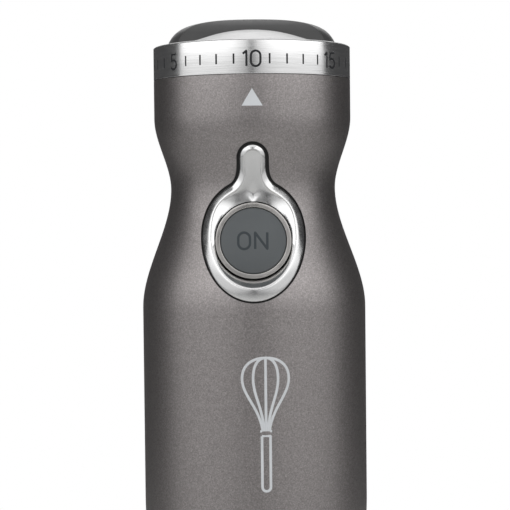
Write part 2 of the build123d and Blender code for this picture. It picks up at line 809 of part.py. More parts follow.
with BuildPart() as control_board:
    with BuildSketch(Plane.XZ.offset(-board_y)):
        with Locations((0, (board_z + board_top_z) / 2)):
            Rectangle(2 * board_half_width, board_top_z - board_z)
    extrude(amount=-board_thickness)
control_board.part.label = "control_board"
export_step(control_board.part, "parts/control_board.step")

with BuildPart() as filter_capacitor:
    with BuildSketch(Plane.XZ.offset(-rear_y)):
        with Locations((-5.0, board_z + 12.0)):
            RectangleRounded(13.0, 15.0, 1.0)
    extrude(amount=-7.0)
filter_capacitor.part.label = "filter_capacitor"
export_step(filter_capacitor.part, "parts/filter_capacitor.step")

with BuildPart() as triac_heatsink:
    with BuildSketch(Plane.XZ.offset(-rear_y)):
        with Locations((8.0, board_z + 12.0)):
            Rectangle(7.0, 16.0)
    extrude(amount=-8.0)
    with BuildSketch(Plane.XZ.offset(-rear_y - 2.0)):
        with Locations((6.9, board_z + 12.0), (9.1, board_z + 12.0)):
            Rectangle(1.2, 16.0)
    extrude(amount=-6.0, mode=Mode.SUBTRACT)
triac_heatsink.part.label = "triac_heatsink"
export_step(triac_heatsink.part, "parts/triac_heatsink.step")

terminal_height = 8.0
with BuildPart() as terminal_block:
    with BuildSketch(Plane.XZ.offset(-rear_y)):
        with Locations((0, board_top_z - terminal_height / 2 - 1.0)):
            Rectangle(16.0, terminal_height)
    extrude(amount=-6.5)
    with BuildSketch(Plane.XY.offset(board_top_z - 2.5)):
        with GridLocations(5.0, 0, 3, 1):
            with Locations((0, rear_y + 3.2)):
                Circle(1.5)
    extrude(amount=4.0, mode=Mode.SUBTRACT)
terminal_block.part.label = "terminal_block"
export_step(terminal_block.part, "parts/terminal_block.step")

switch_depth = 6.0
with BuildPart() as button_switch:
    with BuildSketch(Plane.XZ.offset(-board_y)):
        with Locations((0, button_z)):
            Rectangle(12.6, 6.4)
    extrude(amount=switch_depth)
    with BuildSketch(Plane.XZ.offset(switch_depth - board_y)):
        with Locations((0, button_z)):
            Circle(1.2)
    extrude(amount=0.6)
button_switch.part.label = "button_switch"
export_step(button_switch.part, "parts/button_switch.step")

# Guide ring behind the bezel: the button's stem runs in it and the button's spring stands on it.
guide_y = 17.0
guide_thickness = 1.6
guide_radius = 10.0
stem_radius = 2.2
arm_x = 8.2

with BuildPart() as button_guide:
    with BuildSketch(Plane.XZ.offset(guide_y - guide_thickness)):
        with Locations((0, button_z)):
            Circle(guide_radius)
            Circle(stem_radius + free_gap, mode=Mode.SUBTRACT)
    extrude(amount=guide_thickness)
    with BuildSketch(Plane.XZ.offset(-board_y)):
        with Locations((arm_x, button_z), (-arm_x, button_z)):
            Rectangle(2.0, 8.0)
    extrude(amount=guide_y - guide_thickness + board_y)
button_guide.part.label = "button_guide"
export_step(button_guide.part, "parts/button_guide.step")

with BuildPart() as button_pad:
    with BuildSketch(Plane.XZ.offset(button_face - button_pad_depth)):
        with Locations((0, button_z)):
            Circle(button_pad_radius - fit_gap)
    extrude(amount=button_pad_depth)
    fillet(button_pad.faces().sort_by(Axis.Y)[0].edges(), radius=0.4)
button_pad.part.label = "button_pad"
export_step(button_pad.part, "parts/button_pad.step")

rim_depth = 5.0
rim_floor = 1.0
with BuildPart() as button_rim:
    with BuildSketch(Plane.XZ.offset(button_face - rim_depth)):
        with Locations((0, button_z)):
            Circle(button_radius)
    extrude(amount=rim_depth + 0.3)
    with BuildSketch(Plane.XZ.offset(button_face - button_pad_depth)):
        with Locations((0, button_z)):
            Circle(button_pad_radius)
    extrude(amount=rim_depth, mode=Mode.SUBTRACT)
    with BuildSketch(Plane.XZ.offset(button_face - rim_depth)):
        with Locations((0, button_z)):
            Circle(button_radius - 1.2)
    extrude(amount=rim_depth - button_pad_depth - rim_floor, mode=Mode.SUBTRACT)
    fillet(button_rim.faces().sort_by(Axis.Y)[0].edges(), radius=0.3)
button_rim.part.label = "button_rim"
export_step(button_rim.part, "parts/button_rim.step")

# Stem from the button to the switch, with a cap that sits in the rim
cap_back_y = button_face - button_pad_depth - rim_floor
stem_end_y = switch_depth - board_y + 0.6 + button_travel + 0.2
with BuildPart() as button_stem:
    with BuildSketch(Plane.XZ.offset(stem_end_y)):
        with Locations((0, button_z)):
            Circle(stem_radius)
    extrude(amount=cap_back_y - stem_end_y)
    with BuildSketch(Plane.XZ.offset(cap_back_y - 1.2)):
        with Locations((0, button_z)):
            Circle(button_radius - 1.2 - fit_gap)
    extrude(amount=1.2)
button_stem.part.label = "button_stem"
export_step(button_stem.part, "parts/button_stem.step")

spring_base = Plane((0, -guide_y, button_z), x_dir=(1, 0, 0), z_dir=(0, -1, 0))
button_spring = coil_spring(spring_base, cap_back_y - 1.2 - guide_y - fit_gap, stem_radius + 1.2, 0.3, 4)
button_spring.part.label = "button_spring"
export_step(button_spring.part, "parts/button_spring.step")

# ================================================================ cord inlet

with BuildPart() as cord_gland:
    with BuildSketch(Plane.XZ.offset(-head_radius - gland_proud)):
        with Locations((0, gland_z)):
            Circle(gland_radius)
    extrude(amount=gland_length)
    with BuildSketch(Plane.XZ.offset(-head_radius - gland_proud + gland_length)):
        with Locations((0, gland_z)):
            Circle(gland_radius + 1.6)
    extrude(amount=-2.4)
    fillet(cord_gland.faces().sort_by(Axis.Y)[-1].edges(), radius=1.2)
    with BuildSketch(Plane.XZ):
        with Locations((0, gland_z)):
            Circle(cord_bore)
    extrude(amount=-reach, mode=Mode.SUBTRACT)
cord_gland.part.label = "cord_gland"
export_step(cord_gland.part, "parts/cord_gland.step")

clamp_width = 20.0
clamp_depth = 6.0
clamp_y = rear_y + 5.0
clamp_screw_x = 7.2
clamp_height = 2 * cord_bore + 2.2

with BuildPart() as cord_clamp:
    with BuildSketch(Plane.XY.offset(shelf_z)):
        with Locations((0, clamp_y)):
            RectangleRounded(clamp_width, clamp_depth, 1.0)
        with Locations((clamp_screw_x, clamp_y), (-clamp_screw_x, clamp_y)):
            Circle(screw_radius + fit_gap, mode=Mode.SUBTRACT)
    extrude(amount=clamp_height)
    with BuildSketch(Plane.XZ):
        with Locations((0, shelf_z)):
            Rectangle(2 * cord_bore, 2 * cord_bore)
        with Locations((0, shelf_z + cord_bore)):
            Circle(cord_bore)
    extrude(amount=-reach, mode=Mode.SUBTRACT)
cord_clamp.part.label = "cord_clamp"
export_step(cord_clamp.part, "parts/cord_clamp.step")

with BuildPart() as clamp_screws:
    with BuildSketch(Plane.XY.offset(shelf_z)):
        with Locations((clamp_screw_x, clamp_y), (-clamp_screw_x, clamp_y)):
            Circle(screw_radius)
    extrude(amount=clamp_height)
    with BuildSketch(Plane.XY.offset(shelf_z + clamp_height)):
        with Locations((clamp_screw_x, clamp_y), (-clamp_screw_x, clamp_y)):
            Circle(screw_radius + 1.0)
    extrude(amount=1.2)
clamp_screws.part.label = "clamp_screws"
export_step(clamp_screws.part, "parts/clamp_screws.step")

# ================================================================ dial

pot_radius = 8.0
pot_height = 5.5
bush_radius = 4.2
nut_height = 1.6
shoulder_start = 0.15
crown_base_z = dial_top_z + dial_shoulder
crown_top_z = crown_base_z + crown_rise
spindle_top_z = crown_base_z - dial_wall

with BuildPart() as top_deck:
    with BuildSketch(Plane.XY.offset(deck_z)):
        Circle(head_radius - wall - fit_gap)
        Circle(bush_radius + fit_gap, mode=Mode.SUBTRACT)
    extrude(amount=deck_thickness)
top_deck.part.label = "top_deck"
export_step(top_deck.part, "parts/top_deck.step")

with BuildPart() as speed_potentiometer:
    with BuildSketch(Plane.XY.offset(deck_z - pot_height)):
        Circle(pot_radius)
    extrude(amount=pot_height)
    with BuildSketch(Plane.XY.offset(deck_z)):
        Circle(bush_radius)
    extrude(amount=deck_thickness + nut_height)
    with BuildSketch(Plane.XY.offset(deck_z - pot_height + 1.5)):
        Circle(spindle_radius + run_gap)
    extrude(amount=reach, mode=Mode.SUBTRACT)
speed_potentiometer.part.label = "speed_potentiometer"
export_step(speed_potentiometer.part, "parts/speed_potentiometer.step")

with BuildPart() as pot_nut:
    with BuildSketch(Plane.XY.offset(deck_top_z)):
        RegularPolygon(bush_radius + 2.2, 6)
        Circle(bush_radius + fit_gap, mode=Mode.SUBTRACT)
    extrude(amount=nut_height)
pot_nut.part.label = "pot_nut"
export_step(pot_nut.part, "parts/pot_nut.step")

# Ring with one notch for each click of the dial, and the sprung nose that rides over it
detent_height = 1.4
detent_inner = 15.0
detent_outer = 20.0
notch_radius = 0.7
nose_radius = 0.55
click_gap = 0.12

with BuildPart() as detent_ring:
    with BuildSketch(Plane.XY.offset(deck_top_z)):
        Circle(detent_outer)
        Circle(detent_inner, mode=Mode.SUBTRACT)
    extrude(amount=detent_height)
    notch_circle = (detent_inner + detent_outer) / 2
    for step in range(speed_steps):
        notch_angle = 90 - (step - speed_steps // 2 + 1) * step_angle
        turned = Plane.YZ.rotated((0, 0, notch_angle)).offset(detent_inner - 1)
        with BuildSketch(turned):
            with Locations((0, deck_top_z + detent_height + 0.25)):
                Circle(notch_radius)
        extrude(amount=detent_outer - detent_inner + 2, mode=Mode.SUBTRACT)
detent_ring.part.label = "detent_ring"
export_step(detent_ring.part, "parts/detent_ring.step")

ceiling_z = dial_top_z - dial_wall + shoulder_start
hub_radius = 6.0
hub_z = deck_top_z + nut_height + 1.0
cavity_radius = head_radius - dial_wall


def crown_side():
    """Draws the dome on top of the dial, from the grip's ends in to the axis."""
    Bezier(
        (grip_end_radius, crown_base_z),
        (0.72 * grip_end_radius, crown_base_z + 0.05 * crown_rise),
        (0.6 * grip_end_radius, crown_top_z),
        (0, crown_top_z),
    )


with BuildPart() as dial_knob:
    with BuildSketch(Plane.XZ):
        with BuildLine():
            Line((0, dial_z), (head_radius, dial_z))
            Line((head_radius, dial_z), (head_radius, dial_top_z - shoulder_start))
            Bezier(
                (head_radius, dial_top_z - shoulder_start),
                (head_radius, dial_top_z + 0.5 * dial_shoulder),
                (head_radius - 2.4, crown_base_z - 0.2),
                (grip_end_radius, crown_base_z),
            )
            crown_side()
            Line((0, crown_top_z), (0, dial_z))
        make_face()
    revolve(axis=Axis.Z)
    with BuildSketch(Plane.XY.offset(dial_z)):
        Circle(cavity_radius)
    extrude(amount=ceiling_z - dial_z, mode=Mode.SUBTRACT)
    with BuildSketch(Plane.XY.offset(hub_z)):
        Circle(hub_radius)
    extrude(amount=ceiling_z - hub_z + 0.5)
    with BuildSketch(Plane.XY.offset(dial_z - reach)):
        Circle(spindle_radius + fit_gap)
    extrude(amount=spindle_top_z - dial_z + reach, mode=Mode.SUBTRACT)
dial_knob.part.label = "dial_knob"
export_step(dial_knob.part, "parts/dial_knob.step")

with BuildPart() as dial_spindle:
    with BuildSketch(Plane.XY.offset(deck_z - pot_height + 2.0)):
        Circle(spindle_radius)
    extrude(amount=spindle_top_z - deck_z + pot_height - 2.0)
dial_spindle.part.label = "dial_spindle"
export_step(dial_spindle.part, "parts/dial_spindle.step")

# The grip is a flat-topped dome cut by two long hollow sides, seated on the crown.
grip_side = scoop_radius + grip_half_width - scoop_depth
grip_top_z = dial_top_z + grip_rise
with BuildPart() as dial_grip:
    with BuildSketch(Plane.XZ):
        with BuildLine():
            crown_side()
            Bezier(
                (grip_end_radius, crown_base_z),
                (grip_end_radius - grip_lean, crown_base_z + 0.8 * (grip_rise - dial_shoulder)),
                (0.76 * grip_end_radius, grip_top_z),
                (0, grip_top_z),
            )
            Line((0, grip_top_z), (0, crown_top_z))
        make_face()
    revolve(axis=Axis.Z)
    with BuildSketch(Plane.XY.offset(crown_base_z)):
        with Locations((0, grip_side), (0, -grip_side)):
            Circle(scoop_radius)
    extrude(amount=2 * grip_rise, mode=Mode.SUBTRACT)
dial_grip.part.label = "dial_grip"
export_step(dial_grip.part, "parts/dial_grip.step")

leaf_thickness = 0.4
leaf_angle = 70.0
leaf_z = deck_top_z + detent_height + click_gap
with BuildPart() as detent_spring:
    with BuildSketch(Plane.XY.offset(ceiling_z - leaf_thickness)):
        SlotArc(CenterArc((0, 0), notch_circle, 90 - leaf_angle / 2, leaf_angle), 3.0)
    extrude(amount=leaf_thickness)
    with BuildSketch(Plane.XY.offset(leaf_z)):
        with Locations((0, notch_circle)):
            Circle(nose_radius + 0.5)
    extrude(amount=ceiling_z - leaf_z - leaf_thickness / 2)
    fillet(detent_spring.faces().sort_by(Axis.Z)[0].edges(), radius=nose_radius)
detent_spring.part.label = "detent_spring"
export_step(detent_spring.part, "parts/detent_spring.step")

# ================================================================ attachment

collar_z = parting_z - collar_skirt
tube_top_z = collar_z + tube_grip
spigot_top_z = parting_z + spigot_length
spigot_radius = socket_radius - free_gap
flange_z = parting_z - 0.2
spigot_bore = dog_radius + 1.0
coupler_z = dog_z - 4.0
spigot_floor_z = coupler_z - 1.0
bush_length = 12.0
upper_bush_radius = 6.0
neck_radius = tube_lower_radius + fit_gap + 1.3
neck_height = 10.0
tube_z = bell_height - neck_height
collar_mouth = tube_upper_radius + fit_gap + 1.2
groove_z = lever_foot_z - 1.0

with BuildPart() as shaft_collar:
    with BuildSketch(Plane.XZ):
        with BuildLine():
            Line((0, collar_z), (collar_mouth, collar_z))
            Bezier(
                (collar_mouth, collar_z),
                (collar_mouth + 0.4, collar_z + 0.45 * collar_skirt),
                (hem_radius, flange_z - 0.45 * collar_skirt),
                (hem_radius, flange_z - 2.0),
            )
            Line((hem_radius, flange_z - 2.0), (hem_radius, flange_z))
            Line((hem_radius, flange_z), (spigot_radius, flange_z))
            Line((spigot_radius, flange_z), (spigot_radius, groove_z))
            Line((spigot_radius, groove_z), (spigot_radius - groove_depth, groove_z))
            Line((spigot_radius - groove_depth, groove_z), (spigot_radius - groove_depth, groove_z + groove_height))
            Line((spigot_radius - groove_depth, groove_z + groove_height), (spigot_radius, groove_z + groove_height))
            Line((spigot_radius, groove_z + groove_height), (spigot_radius, spigot_top_z - 1.0))
            Line((spigot_radius, spigot_top_z - 1.0), (spigot_radius - 1.0, spigot_top_z))
            Line((spigot_radius - 1.0, spigot_top_z), (0, spigot_top_z))
            Line((0, spigot_top_z), (0, collar_z))
        make_face()
    revolve(axis=Axis.Z)
    with BuildSketch(Plane.XY.offset(collar_z)):
        Circle(tube_upper_radius + fit_gap)
    extrude(amount=tube_grip + 0.1, mode=Mode.SUBTRACT)
    with BuildSketch(Plane.XY.offset(collar_z)):
        Circle(upper_bush_radius + fit_gap)
    extrude(amount=reach, mode=Mode.SUBTRACT)
    with BuildSketch(Plane.XY.offset(spigot_floor_z)):
        Circle(spigot_bore)
    extrude(amount=reach, mode=Mode.SUBTRACT)
shaft_collar.part.label = "shaft_collar"
export_step(shaft_collar.part, "parts/shaft_collar.step")

with BuildPart() as shaft_tube:
    with BuildSketch(Plane.XZ):
        with BuildLine():
            Polyline(
                (tube_lower_radius, tube_z),
                (tube_lower_radius, bell_height),
                (tube_upper_radius, collar_z),
                (tube_upper_radius, tube_top_z),
                (tube_upper_radius - tube_wall, tube_top_z),
                (tube_upper_radius - tube_wall, collar_z),
                (tube_lower_radius - tube_wall, bell_height),
                (tube_lower_radius - tube_wall, tube_z),
                close=True,
            )
        make_face()
    revolve(axis=Axis.Z)
shaft_tube.part.label = "shaft_tube"
export_step(shaft_tube.part, "parts/shaft_tube.step")

# Bell: a dome with arched vents in its rim, its neck welded round the tube
seal_seat = 8.0
bell_rim_z = 4.0
with BuildPart() as blade_bell:
    with BuildSketch(Plane.XZ):
        with BuildLine():
            Line((seal_seat, tube_z), (tube_lower_radius + fit_gap, tube_z))
            Line((tube_lower_radius + fit_gap, tube_z), (tube_lower_radius + fit_gap, bell_height))
            Line((tube_lower_radius + fit_gap, bell_height), (neck_radius, bell_height))
            Line((neck_radius, bell_height), (neck_radius, tube_z + 3.0))
            Bezier(
                (neck_radius, tube_z + 3.0),
                (neck_radius, 0.62 * tube_z),
                (bell_radius, 0.66 * tube_z),
                (bell_radius, bell_rim_z),
            )
            Line((bell_radius, bell_rim_z), (bell_radius, 0))
            Line((bell_radius, 0), (bell_radius - bell_wall, 0))
            Line((bell_radius - bell_wall, 0), (bell_radius - bell_wall, bell_rim_z))
            Bezier(
                (bell_radius - bell_wall, bell_rim_z),
                (bell_radius - bell_wall, 0.62 * tube_z),
                (neck_radius - bell_wall, 0.58 * tube_z),
                (neck_radius - bell_wall, tube_z - 3.0),
            )
            Line((neck_radius - bell_wall, tube_z - 3.0), (seal_seat, tube_z - 3.0))
            Line((seal_seat, tube_z - 3.0), (seal_seat, tube_z))
        make_face()
    revolve(axis=Axis.Z)
    for vent in range(bell_vents):
        vent_plane = Plane.XZ.rotated((0, 0, vent * 360 / bell_vents))
        with BuildSketch(vent_plane):
            Rectangle(vent_width, vent_height)
            with Locations((0, vent_height / 2)):
                Ellipse(vent_width / 2, vent_height / 2)
        extrude(amount=reach, mode=Mode.SUBTRACT)
blade_bell.part.label = "blade_bell"
export_step(blade_bell.part, "parts/blade_bell.step")

with BuildPart() as bell_seal:
    with BuildSketch(Plane.XY.offset(tube_z - 3.0)):
        Circle(seal_seat - fit_gap)
        Circle(shaft_radius + 2 * run_gap, mode=Mode.SUBTRACT)
    extrude(amount=3.0)
    with BuildSketch(Plane.XY.offset(tube_z - 4.5)):
        Circle(shaft_radius + 2.0)
        Circle(shaft_radius + 2 * run_gap, mode=Mode.SUBTRACT)
    extrude(amount=1.5)
bell_seal.part.label = "bell_seal"
export_step(bell_seal.part, "parts/bell_seal.step")

bush_places = (
    ("lower_bush", tube_z + 0.1, tube_lower_radius - tube_wall - fit_gap),
    ("upper_bush", spigot_floor_z - bush_length, upper_bush_radius),
)
for bush_name, bush_z, bush_outer in bush_places:
    with BuildPart() as bush:
        with BuildSketch(Plane.XY.offset(bush_z)):
            Circle(bush_outer)
            Circle(shaft_radius + run_gap, mode=Mode.SUBTRACT)
        extrude(amount=bush_length)
    bush.part.label = bush_name
    export_step(bush.part, f"parts/{bush_name}.step")

blade_foot_z = blade_height - blade_hub_height / 2
with BuildPart() as drive_shaft:
    with BuildSketch(Plane.XY.offset(blade_foot_z - 2.0)):
        Circle(shaft_radius)
    extrude(amount=coupler_z + 3.0 - blade_foot_z + 2.0)
drive_shaft.part.label = "drive_shaft"
export_step(drive_shaft.part, "parts/drive_shaft.step")

with BuildPart() as driven_coupler:
    with BuildSketch(Plane.XY.offset(coupler_z)):
        Circle(spline_radius + 1.5)
    extrude(amount=dog_z - coupler_z - 0.5)
    with BuildSketch(Plane.XY.offset(coupler_z)):
        Circle(spline_radius)
        with PolarLocations(spline_radius, spline_teeth):
            Circle(spline_tooth_radius)
    extrude(amount=dog_z - coupler_z + spline_length)
    with BuildSketch(Plane.XY.offset(coupler_z)):
        Circle(shaft_radius + fit_gap)
    extrude(amount=3.0 + fit_gap, mode=Mode.SUBTRACT)
driven_coupler.part.label = "driven_coupler"
export_step(driven_coupler.part, "parts/driven_coupler.step")

wing_root = 5.2
wing_tip = 2.6
with BuildPart() as blade:
    for turn, bend in ((0, blade_bend), (180, -blade_bend)):
        wing_plane = Plane((0, 0, blade_height)).rotated((0, -bend, turn))
        with BuildSketch(wing_plane):
            Polygon(
                (2.0, -wing_root),
                (blade_radius - 4.0, -wing_tip - 1.6),
                (blade_radius, wing_tip * 0.4),
                (blade_radius - 1.0, wing_tip),
                (2.0, wing_root),
                align=None,
            )
        extrude(amount=blade_thickness / 2, both=True)
    with BuildSketch(Plane.XY.offset(blade_foot_z)):
        Circle(blade_hub_radius)
    extrude(amount=blade_hub_height)
    with BuildSketch(Plane.XY.offset(blade_foot_z)):
        Circle(shaft_radius + fit_gap)
    extrude(amount=blade_hub_height, mode=Mode.SUBTRACT)
blade.part.label = "blade"
export_step(blade.part, "parts/blade.step")

with BuildPart() as blade_nut:
    with BuildSketch(Plane.XY.offset(blade_foot_z - 3.0)):
        RegularPolygon(blade_hub_radius - 0.8, 6)
    extrude(amount=3.0)
    with BuildSketch(Plane.XY.offset(blade_foot_z - 2.0)):
        Circle(shaft_radius + fit_gap)
    extrude(amount=2.0, mode=Mode.SUBTRACT)
blade_nut.part.label = "blade_nut"
export_step(blade_nut.part, "parts/blade_nut.step")
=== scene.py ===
import json
import math

import bmesh
import bpy
from mathutils import Matrix, Vector


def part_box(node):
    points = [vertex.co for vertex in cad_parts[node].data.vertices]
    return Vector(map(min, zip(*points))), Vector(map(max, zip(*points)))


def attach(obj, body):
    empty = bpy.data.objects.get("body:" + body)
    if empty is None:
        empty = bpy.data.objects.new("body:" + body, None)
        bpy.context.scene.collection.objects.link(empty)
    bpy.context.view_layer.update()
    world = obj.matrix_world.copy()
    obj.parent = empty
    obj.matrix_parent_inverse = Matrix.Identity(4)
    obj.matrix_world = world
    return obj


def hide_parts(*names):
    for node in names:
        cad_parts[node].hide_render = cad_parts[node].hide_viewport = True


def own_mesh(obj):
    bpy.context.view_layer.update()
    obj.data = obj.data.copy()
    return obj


# Looks of an immersion blender: lacquered motor housing with a brushed speed dial, a chrome keyhole
# round its ON button, and a steel blending shaft. Metres; +Z up the axis, the button faces -Y.

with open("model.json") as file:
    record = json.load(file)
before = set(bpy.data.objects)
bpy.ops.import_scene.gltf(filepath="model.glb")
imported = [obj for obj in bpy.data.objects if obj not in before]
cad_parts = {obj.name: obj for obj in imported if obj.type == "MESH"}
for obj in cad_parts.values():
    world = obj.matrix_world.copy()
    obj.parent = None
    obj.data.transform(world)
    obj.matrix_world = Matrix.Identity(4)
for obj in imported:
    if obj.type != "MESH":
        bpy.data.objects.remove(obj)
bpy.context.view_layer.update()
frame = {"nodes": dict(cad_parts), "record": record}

mm = 0.001
TURN = 2 * math.pi

# ---------------------------------------------------------------- sizes, from the frame where it has them
shell_low, shell_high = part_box("housing_shell")
knob_low, knob_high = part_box("dial_knob")
grip_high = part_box("dial_grip")[1]
pad_low, pad_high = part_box("button_pad")
rim_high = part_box("button_rim")[1]
bezel_low, bezel_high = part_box("button_bezel")
collar_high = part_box("lower_collar")[1]

hem_radius = collar_high.x
grip_radius = shell_high.x
head_radius = knob_high.x
waist_radius = 23.55 * mm
shell_z = shell_low.z
shell_top_z = shell_high.z
hem_z = shell_z + 2 * mm
belly_z = hem_z + 62 * mm
head_z = shell_top_z - 10.6 * mm
waist_z = head_z - 20 * mm
shoulder_z = waist_z - 34 * mm
shell_wall = 2.4 * mm

button_z = (pad_low.z + pad_high.z) / 2
button_face = -pad_low.y
pad_radius = pad_high.x
ring_radius = rim_high.x

dial_z = knob_low.z
dial_top_z = dial_z + 9.2 * mm
print_lift = 0.03 * mm


def housing_radius(z):
    """Radius of the lacquered shell at height z."""
    def between(low_z, high_z, low_r, high_r):
        t = (z - low_z) / (high_z - low_z)
        return low_r + (high_r - low_r) * (3 * t**2 - 2 * t**3)

    if z < hem_z:
        return hem_radius
    if z < belly_z:
        return between(hem_z, belly_z, hem_radius, grip_radius)
    if z < shoulder_z:
        return grip_radius
    if z < waist_z:
        return between(shoulder_z, waist_z, grip_radius, waist_radius)
    if z < head_z:
        return between(waist_z, head_z, waist_radius, head_radius)
    return head_radius


# ---------------------------------------------------------------- modelling helpers

def deselect():
    """Leaves nothing selected, so that the next operator acts on its own piece alone."""
    if bpy.context.object and bpy.context.object.mode != "OBJECT":
        bpy.ops.object.mode_set(mode="OBJECT")
    bpy.ops.object.select_all(action="DESELECT")


def activate(piece):
    """Selects one piece and makes it the active one."""
    deselect()
    piece.select_set(True)
    bpy.context.view_layer.objects.active = piece


def edit_all():
    """Opens the active piece's mesh with everything selected."""
    bpy.ops.object.mode_set(mode="EDIT")
    bpy.ops.mesh.select_all(action="SELECT")


def join(pieces):
    """Joins pieces into the first one."""
    deselect()
    for piece in pieces:
        piece.select_set(True)
    bpy.context.view_layer.objects.active = pieces[0]
    if len(pieces) > 1:
        bpy.ops.object.join()
    return pieces[0]


def settle(piece):
    """Applies place, turn and size, so that the piece's place is in its mesh."""
    activate(piece)
    bpy.ops.object.transform_apply(location=True, rotation=True, scale=True)
    return piece


def draw_chain(name, points, closed=False):
    """Draws a chain of edges by extruding one corner of a plane from point to point."""
    deselect()
    bpy.ops.mesh.primitive_plane_add(size=1 * mm, location=(0, 0, 0))
    piece = bpy.context.object
    piece.name = name
    bpy.ops.object.mode_set(mode="EDIT")
    bpy.ops.mesh.select_mode(type="VERT")
    bpy.ops.mesh.select_all(action="SELECT")
    bpy.ops.mesh.merge(type="CENTER")
    points = [Vector(p) for p in points]
    bpy.ops.transform.translate(value=points[0])
    for last, point in zip(points, points[1:]):
        bpy.ops.mesh.extrude_vertices_move(TRANSFORM_OT_translate={"value": point - last})
    if closed:
        mesh = bmesh.from_edit_mesh(piece.data)
        mesh.verts.ensure_lookup_table()
        for vert in mesh.verts:
            vert.select_set(vert.index in (0, len(points) - 1))
        bmesh.update_edit_mesh(piece.data)
        bpy.ops.mesh.edge_face_add()
    bpy.ops.object.mode_set(mode="OBJECT")
    return piece


def clean(piece, smooth_angle=35):
    """Merges doubles, points the faces outwards and smooths what isn't a real edge."""
    activate(piece)
    edit_all()
    bpy.ops.mesh.remove_doubles(threshold=0.002 * mm)
    bpy.ops.mesh.normals_make_consistent(inside=False)
    bpy.ops.object.mode_set(mode="OBJECT")
    bpy.ops.object.shade_smooth_by_angle(angle=math.radians(smooth_angle))
    return piece


def turned(name, outline, segments=160, closed=True, smooth_angle=35):
    """Turns an outline of (radius, height) points round the blender's axis, as on a lathe."""
    piece = draw_chain(name, [(r, 0, z) for r, z in outline], closed)
    edit_all()
    bpy.ops.mesh.spin(steps=segments, angle=TURN, center=(0, 0, 0), axis=(0, 0, 1), use_auto_merge=True)
    bpy.ops.object.mode_set(mode="OBJECT")
    return clean(piece, smooth_angle)


def corner(before, point, after, radius, steps=4):
    """Rounds an outline's corner: the points of a small arc that replaces it."""
    p = Vector(point)
    a = Vector(before) - p
    b = Vector(after) - p
    reach = min(radius, 0.45 * a.length, 0.45 * b.length)
    start = p + a.normalized() * reach
    end = p + b.normalized() * reach
    rounded = []
    for i in range(steps + 1):
        t = i / steps
        rounded.append(tuple(start * (1 - t) ** 2 + p * 2 * t * (1 - t) + end * t**2))
    return rounded


def rounded_outline(corners, closed=True):
    """An outline from (radius, height, rounding) corners; a rounding of 0 keeps the corner sharp."""
    outline = []
    count = len(corners)
    for i, (r, z, rounding) in enumerate(corners):
        inside = closed or 0 < i < count - 1
        if rounding and inside:
            outline += corner(corners[i - 1][:2], (r, z), corners[(i + 1) % count][:2], rounding)
        else:
            outline.append((r, z))
    return outline


def bezier(points, steps):
    """Points along a Bezier curve with four control points, the first one left out."""
    a, b, c, d = (Vector(p) for p in points)
    curve = []
    for i in range(1, steps + 1):
        t = i / steps
        curve.append(tuple(a * (1 - t) ** 3 + b * 3 * t * (1 - t) ** 2 + c * 3 * t**2 * (1 - t) + d * t**3))
    return curve


def cut(piece, *tools):
    """Cuts each tool's shape out of the piece and removes the tools."""
    for tool in tools:
        activate(piece)
        modifier = piece.modifiers.new("cut", "BOOLEAN")
        modifier.operation = "DIFFERENCE"
        modifier.solver = "EXACT"
        modifier.object = tool
        bpy.ops.object.modifier_apply(modifier=modifier.name)
        bpy.data.objects.remove(tool)
    return piece


def soften(piece, width, segments=3, angle=40):
    """Rounds the piece's real edges with a small bevel."""
    activate(piece)
    modifier = piece.modifiers.new("edges", "BEVEL")
    modifier.width = width
    modifier.segments = segments
    modifier.limit_method = "ANGLE"
    modifier.angle_limit = math.radians(angle)
    modifier.harden_normals = False
    modifier.use_clamp_overlap = True
    bpy.ops.object.modifier_apply(modifier=modifier.name)
    return clean(piece)


def prism(name, outline, start, end):
    """A straight-sided solid along Y from a closed outline of (x, z) points."""
    piece = draw_chain(name, [(x, start, z) for x, z in outline], closed=True)
    edit_all()
    bpy.ops.mesh.edge_face_add()
    bpy.ops.mesh.extrude_region_move(TRANSFORM_OT_translate={"value": (0, end - start, 0)})
    bpy.ops.mesh.select_all(action="SELECT")
    bpy.ops.mesh.normals_make_consistent(inside=False)
    bpy.ops.object.mode_set(mode="OBJECT")
    return piece


def round_bar(name, radius, start, end, segments=64):
    """A round bar between two points."""
    deselect()
    start = Vector(start)
    end = Vector(end)
    bpy.ops.mesh.primitive_cylinder_add(
        vertices=segments,
        radius=radius,
        depth=(end - start).length,
        location=(start + end) / 2,
        rotation=(end - start).to_track_quat("Z", "Y").to_euler(),
    )
    piece = bpy.context.object
    piece.name = name
    return settle(piece)


def wrap(piece, radius_at, lift=0.0):
    """Bends a flat drawing, made in the X-Z plane, round the front of a turned surface."""
    for vert in piece.data.vertices:
        x, y, z = vert.co
        radius = radius_at(z) + lift - y
        angle = x / radius_at(z)
        vert.co = (radius * math.sin(angle), -radius * math.cos(angle), z)
    piece.data.update()
    return piece


def crisp(stroke, reach):
    """Adds a point just before and after each sharp corner, so that the pen keeps its width up to it."""
    points = [Vector(stroke[0])]
    for place in stroke[1:]:
        if (Vector(place) - points[-1]).length > 0.01 * mm:
            points.append(Vector(place))
    kept = [points[0]]
    for before, at, after in zip(points, points[1:], points[2:]):
        back = before - at
        ahead = after - at
        if back.angle(ahead) < math.radians(140):
            kept += [at + back.normalized() * reach, at, at + ahead.normalized() * reach]
        else:
            kept.append(at)
    return kept + [points[-1]]


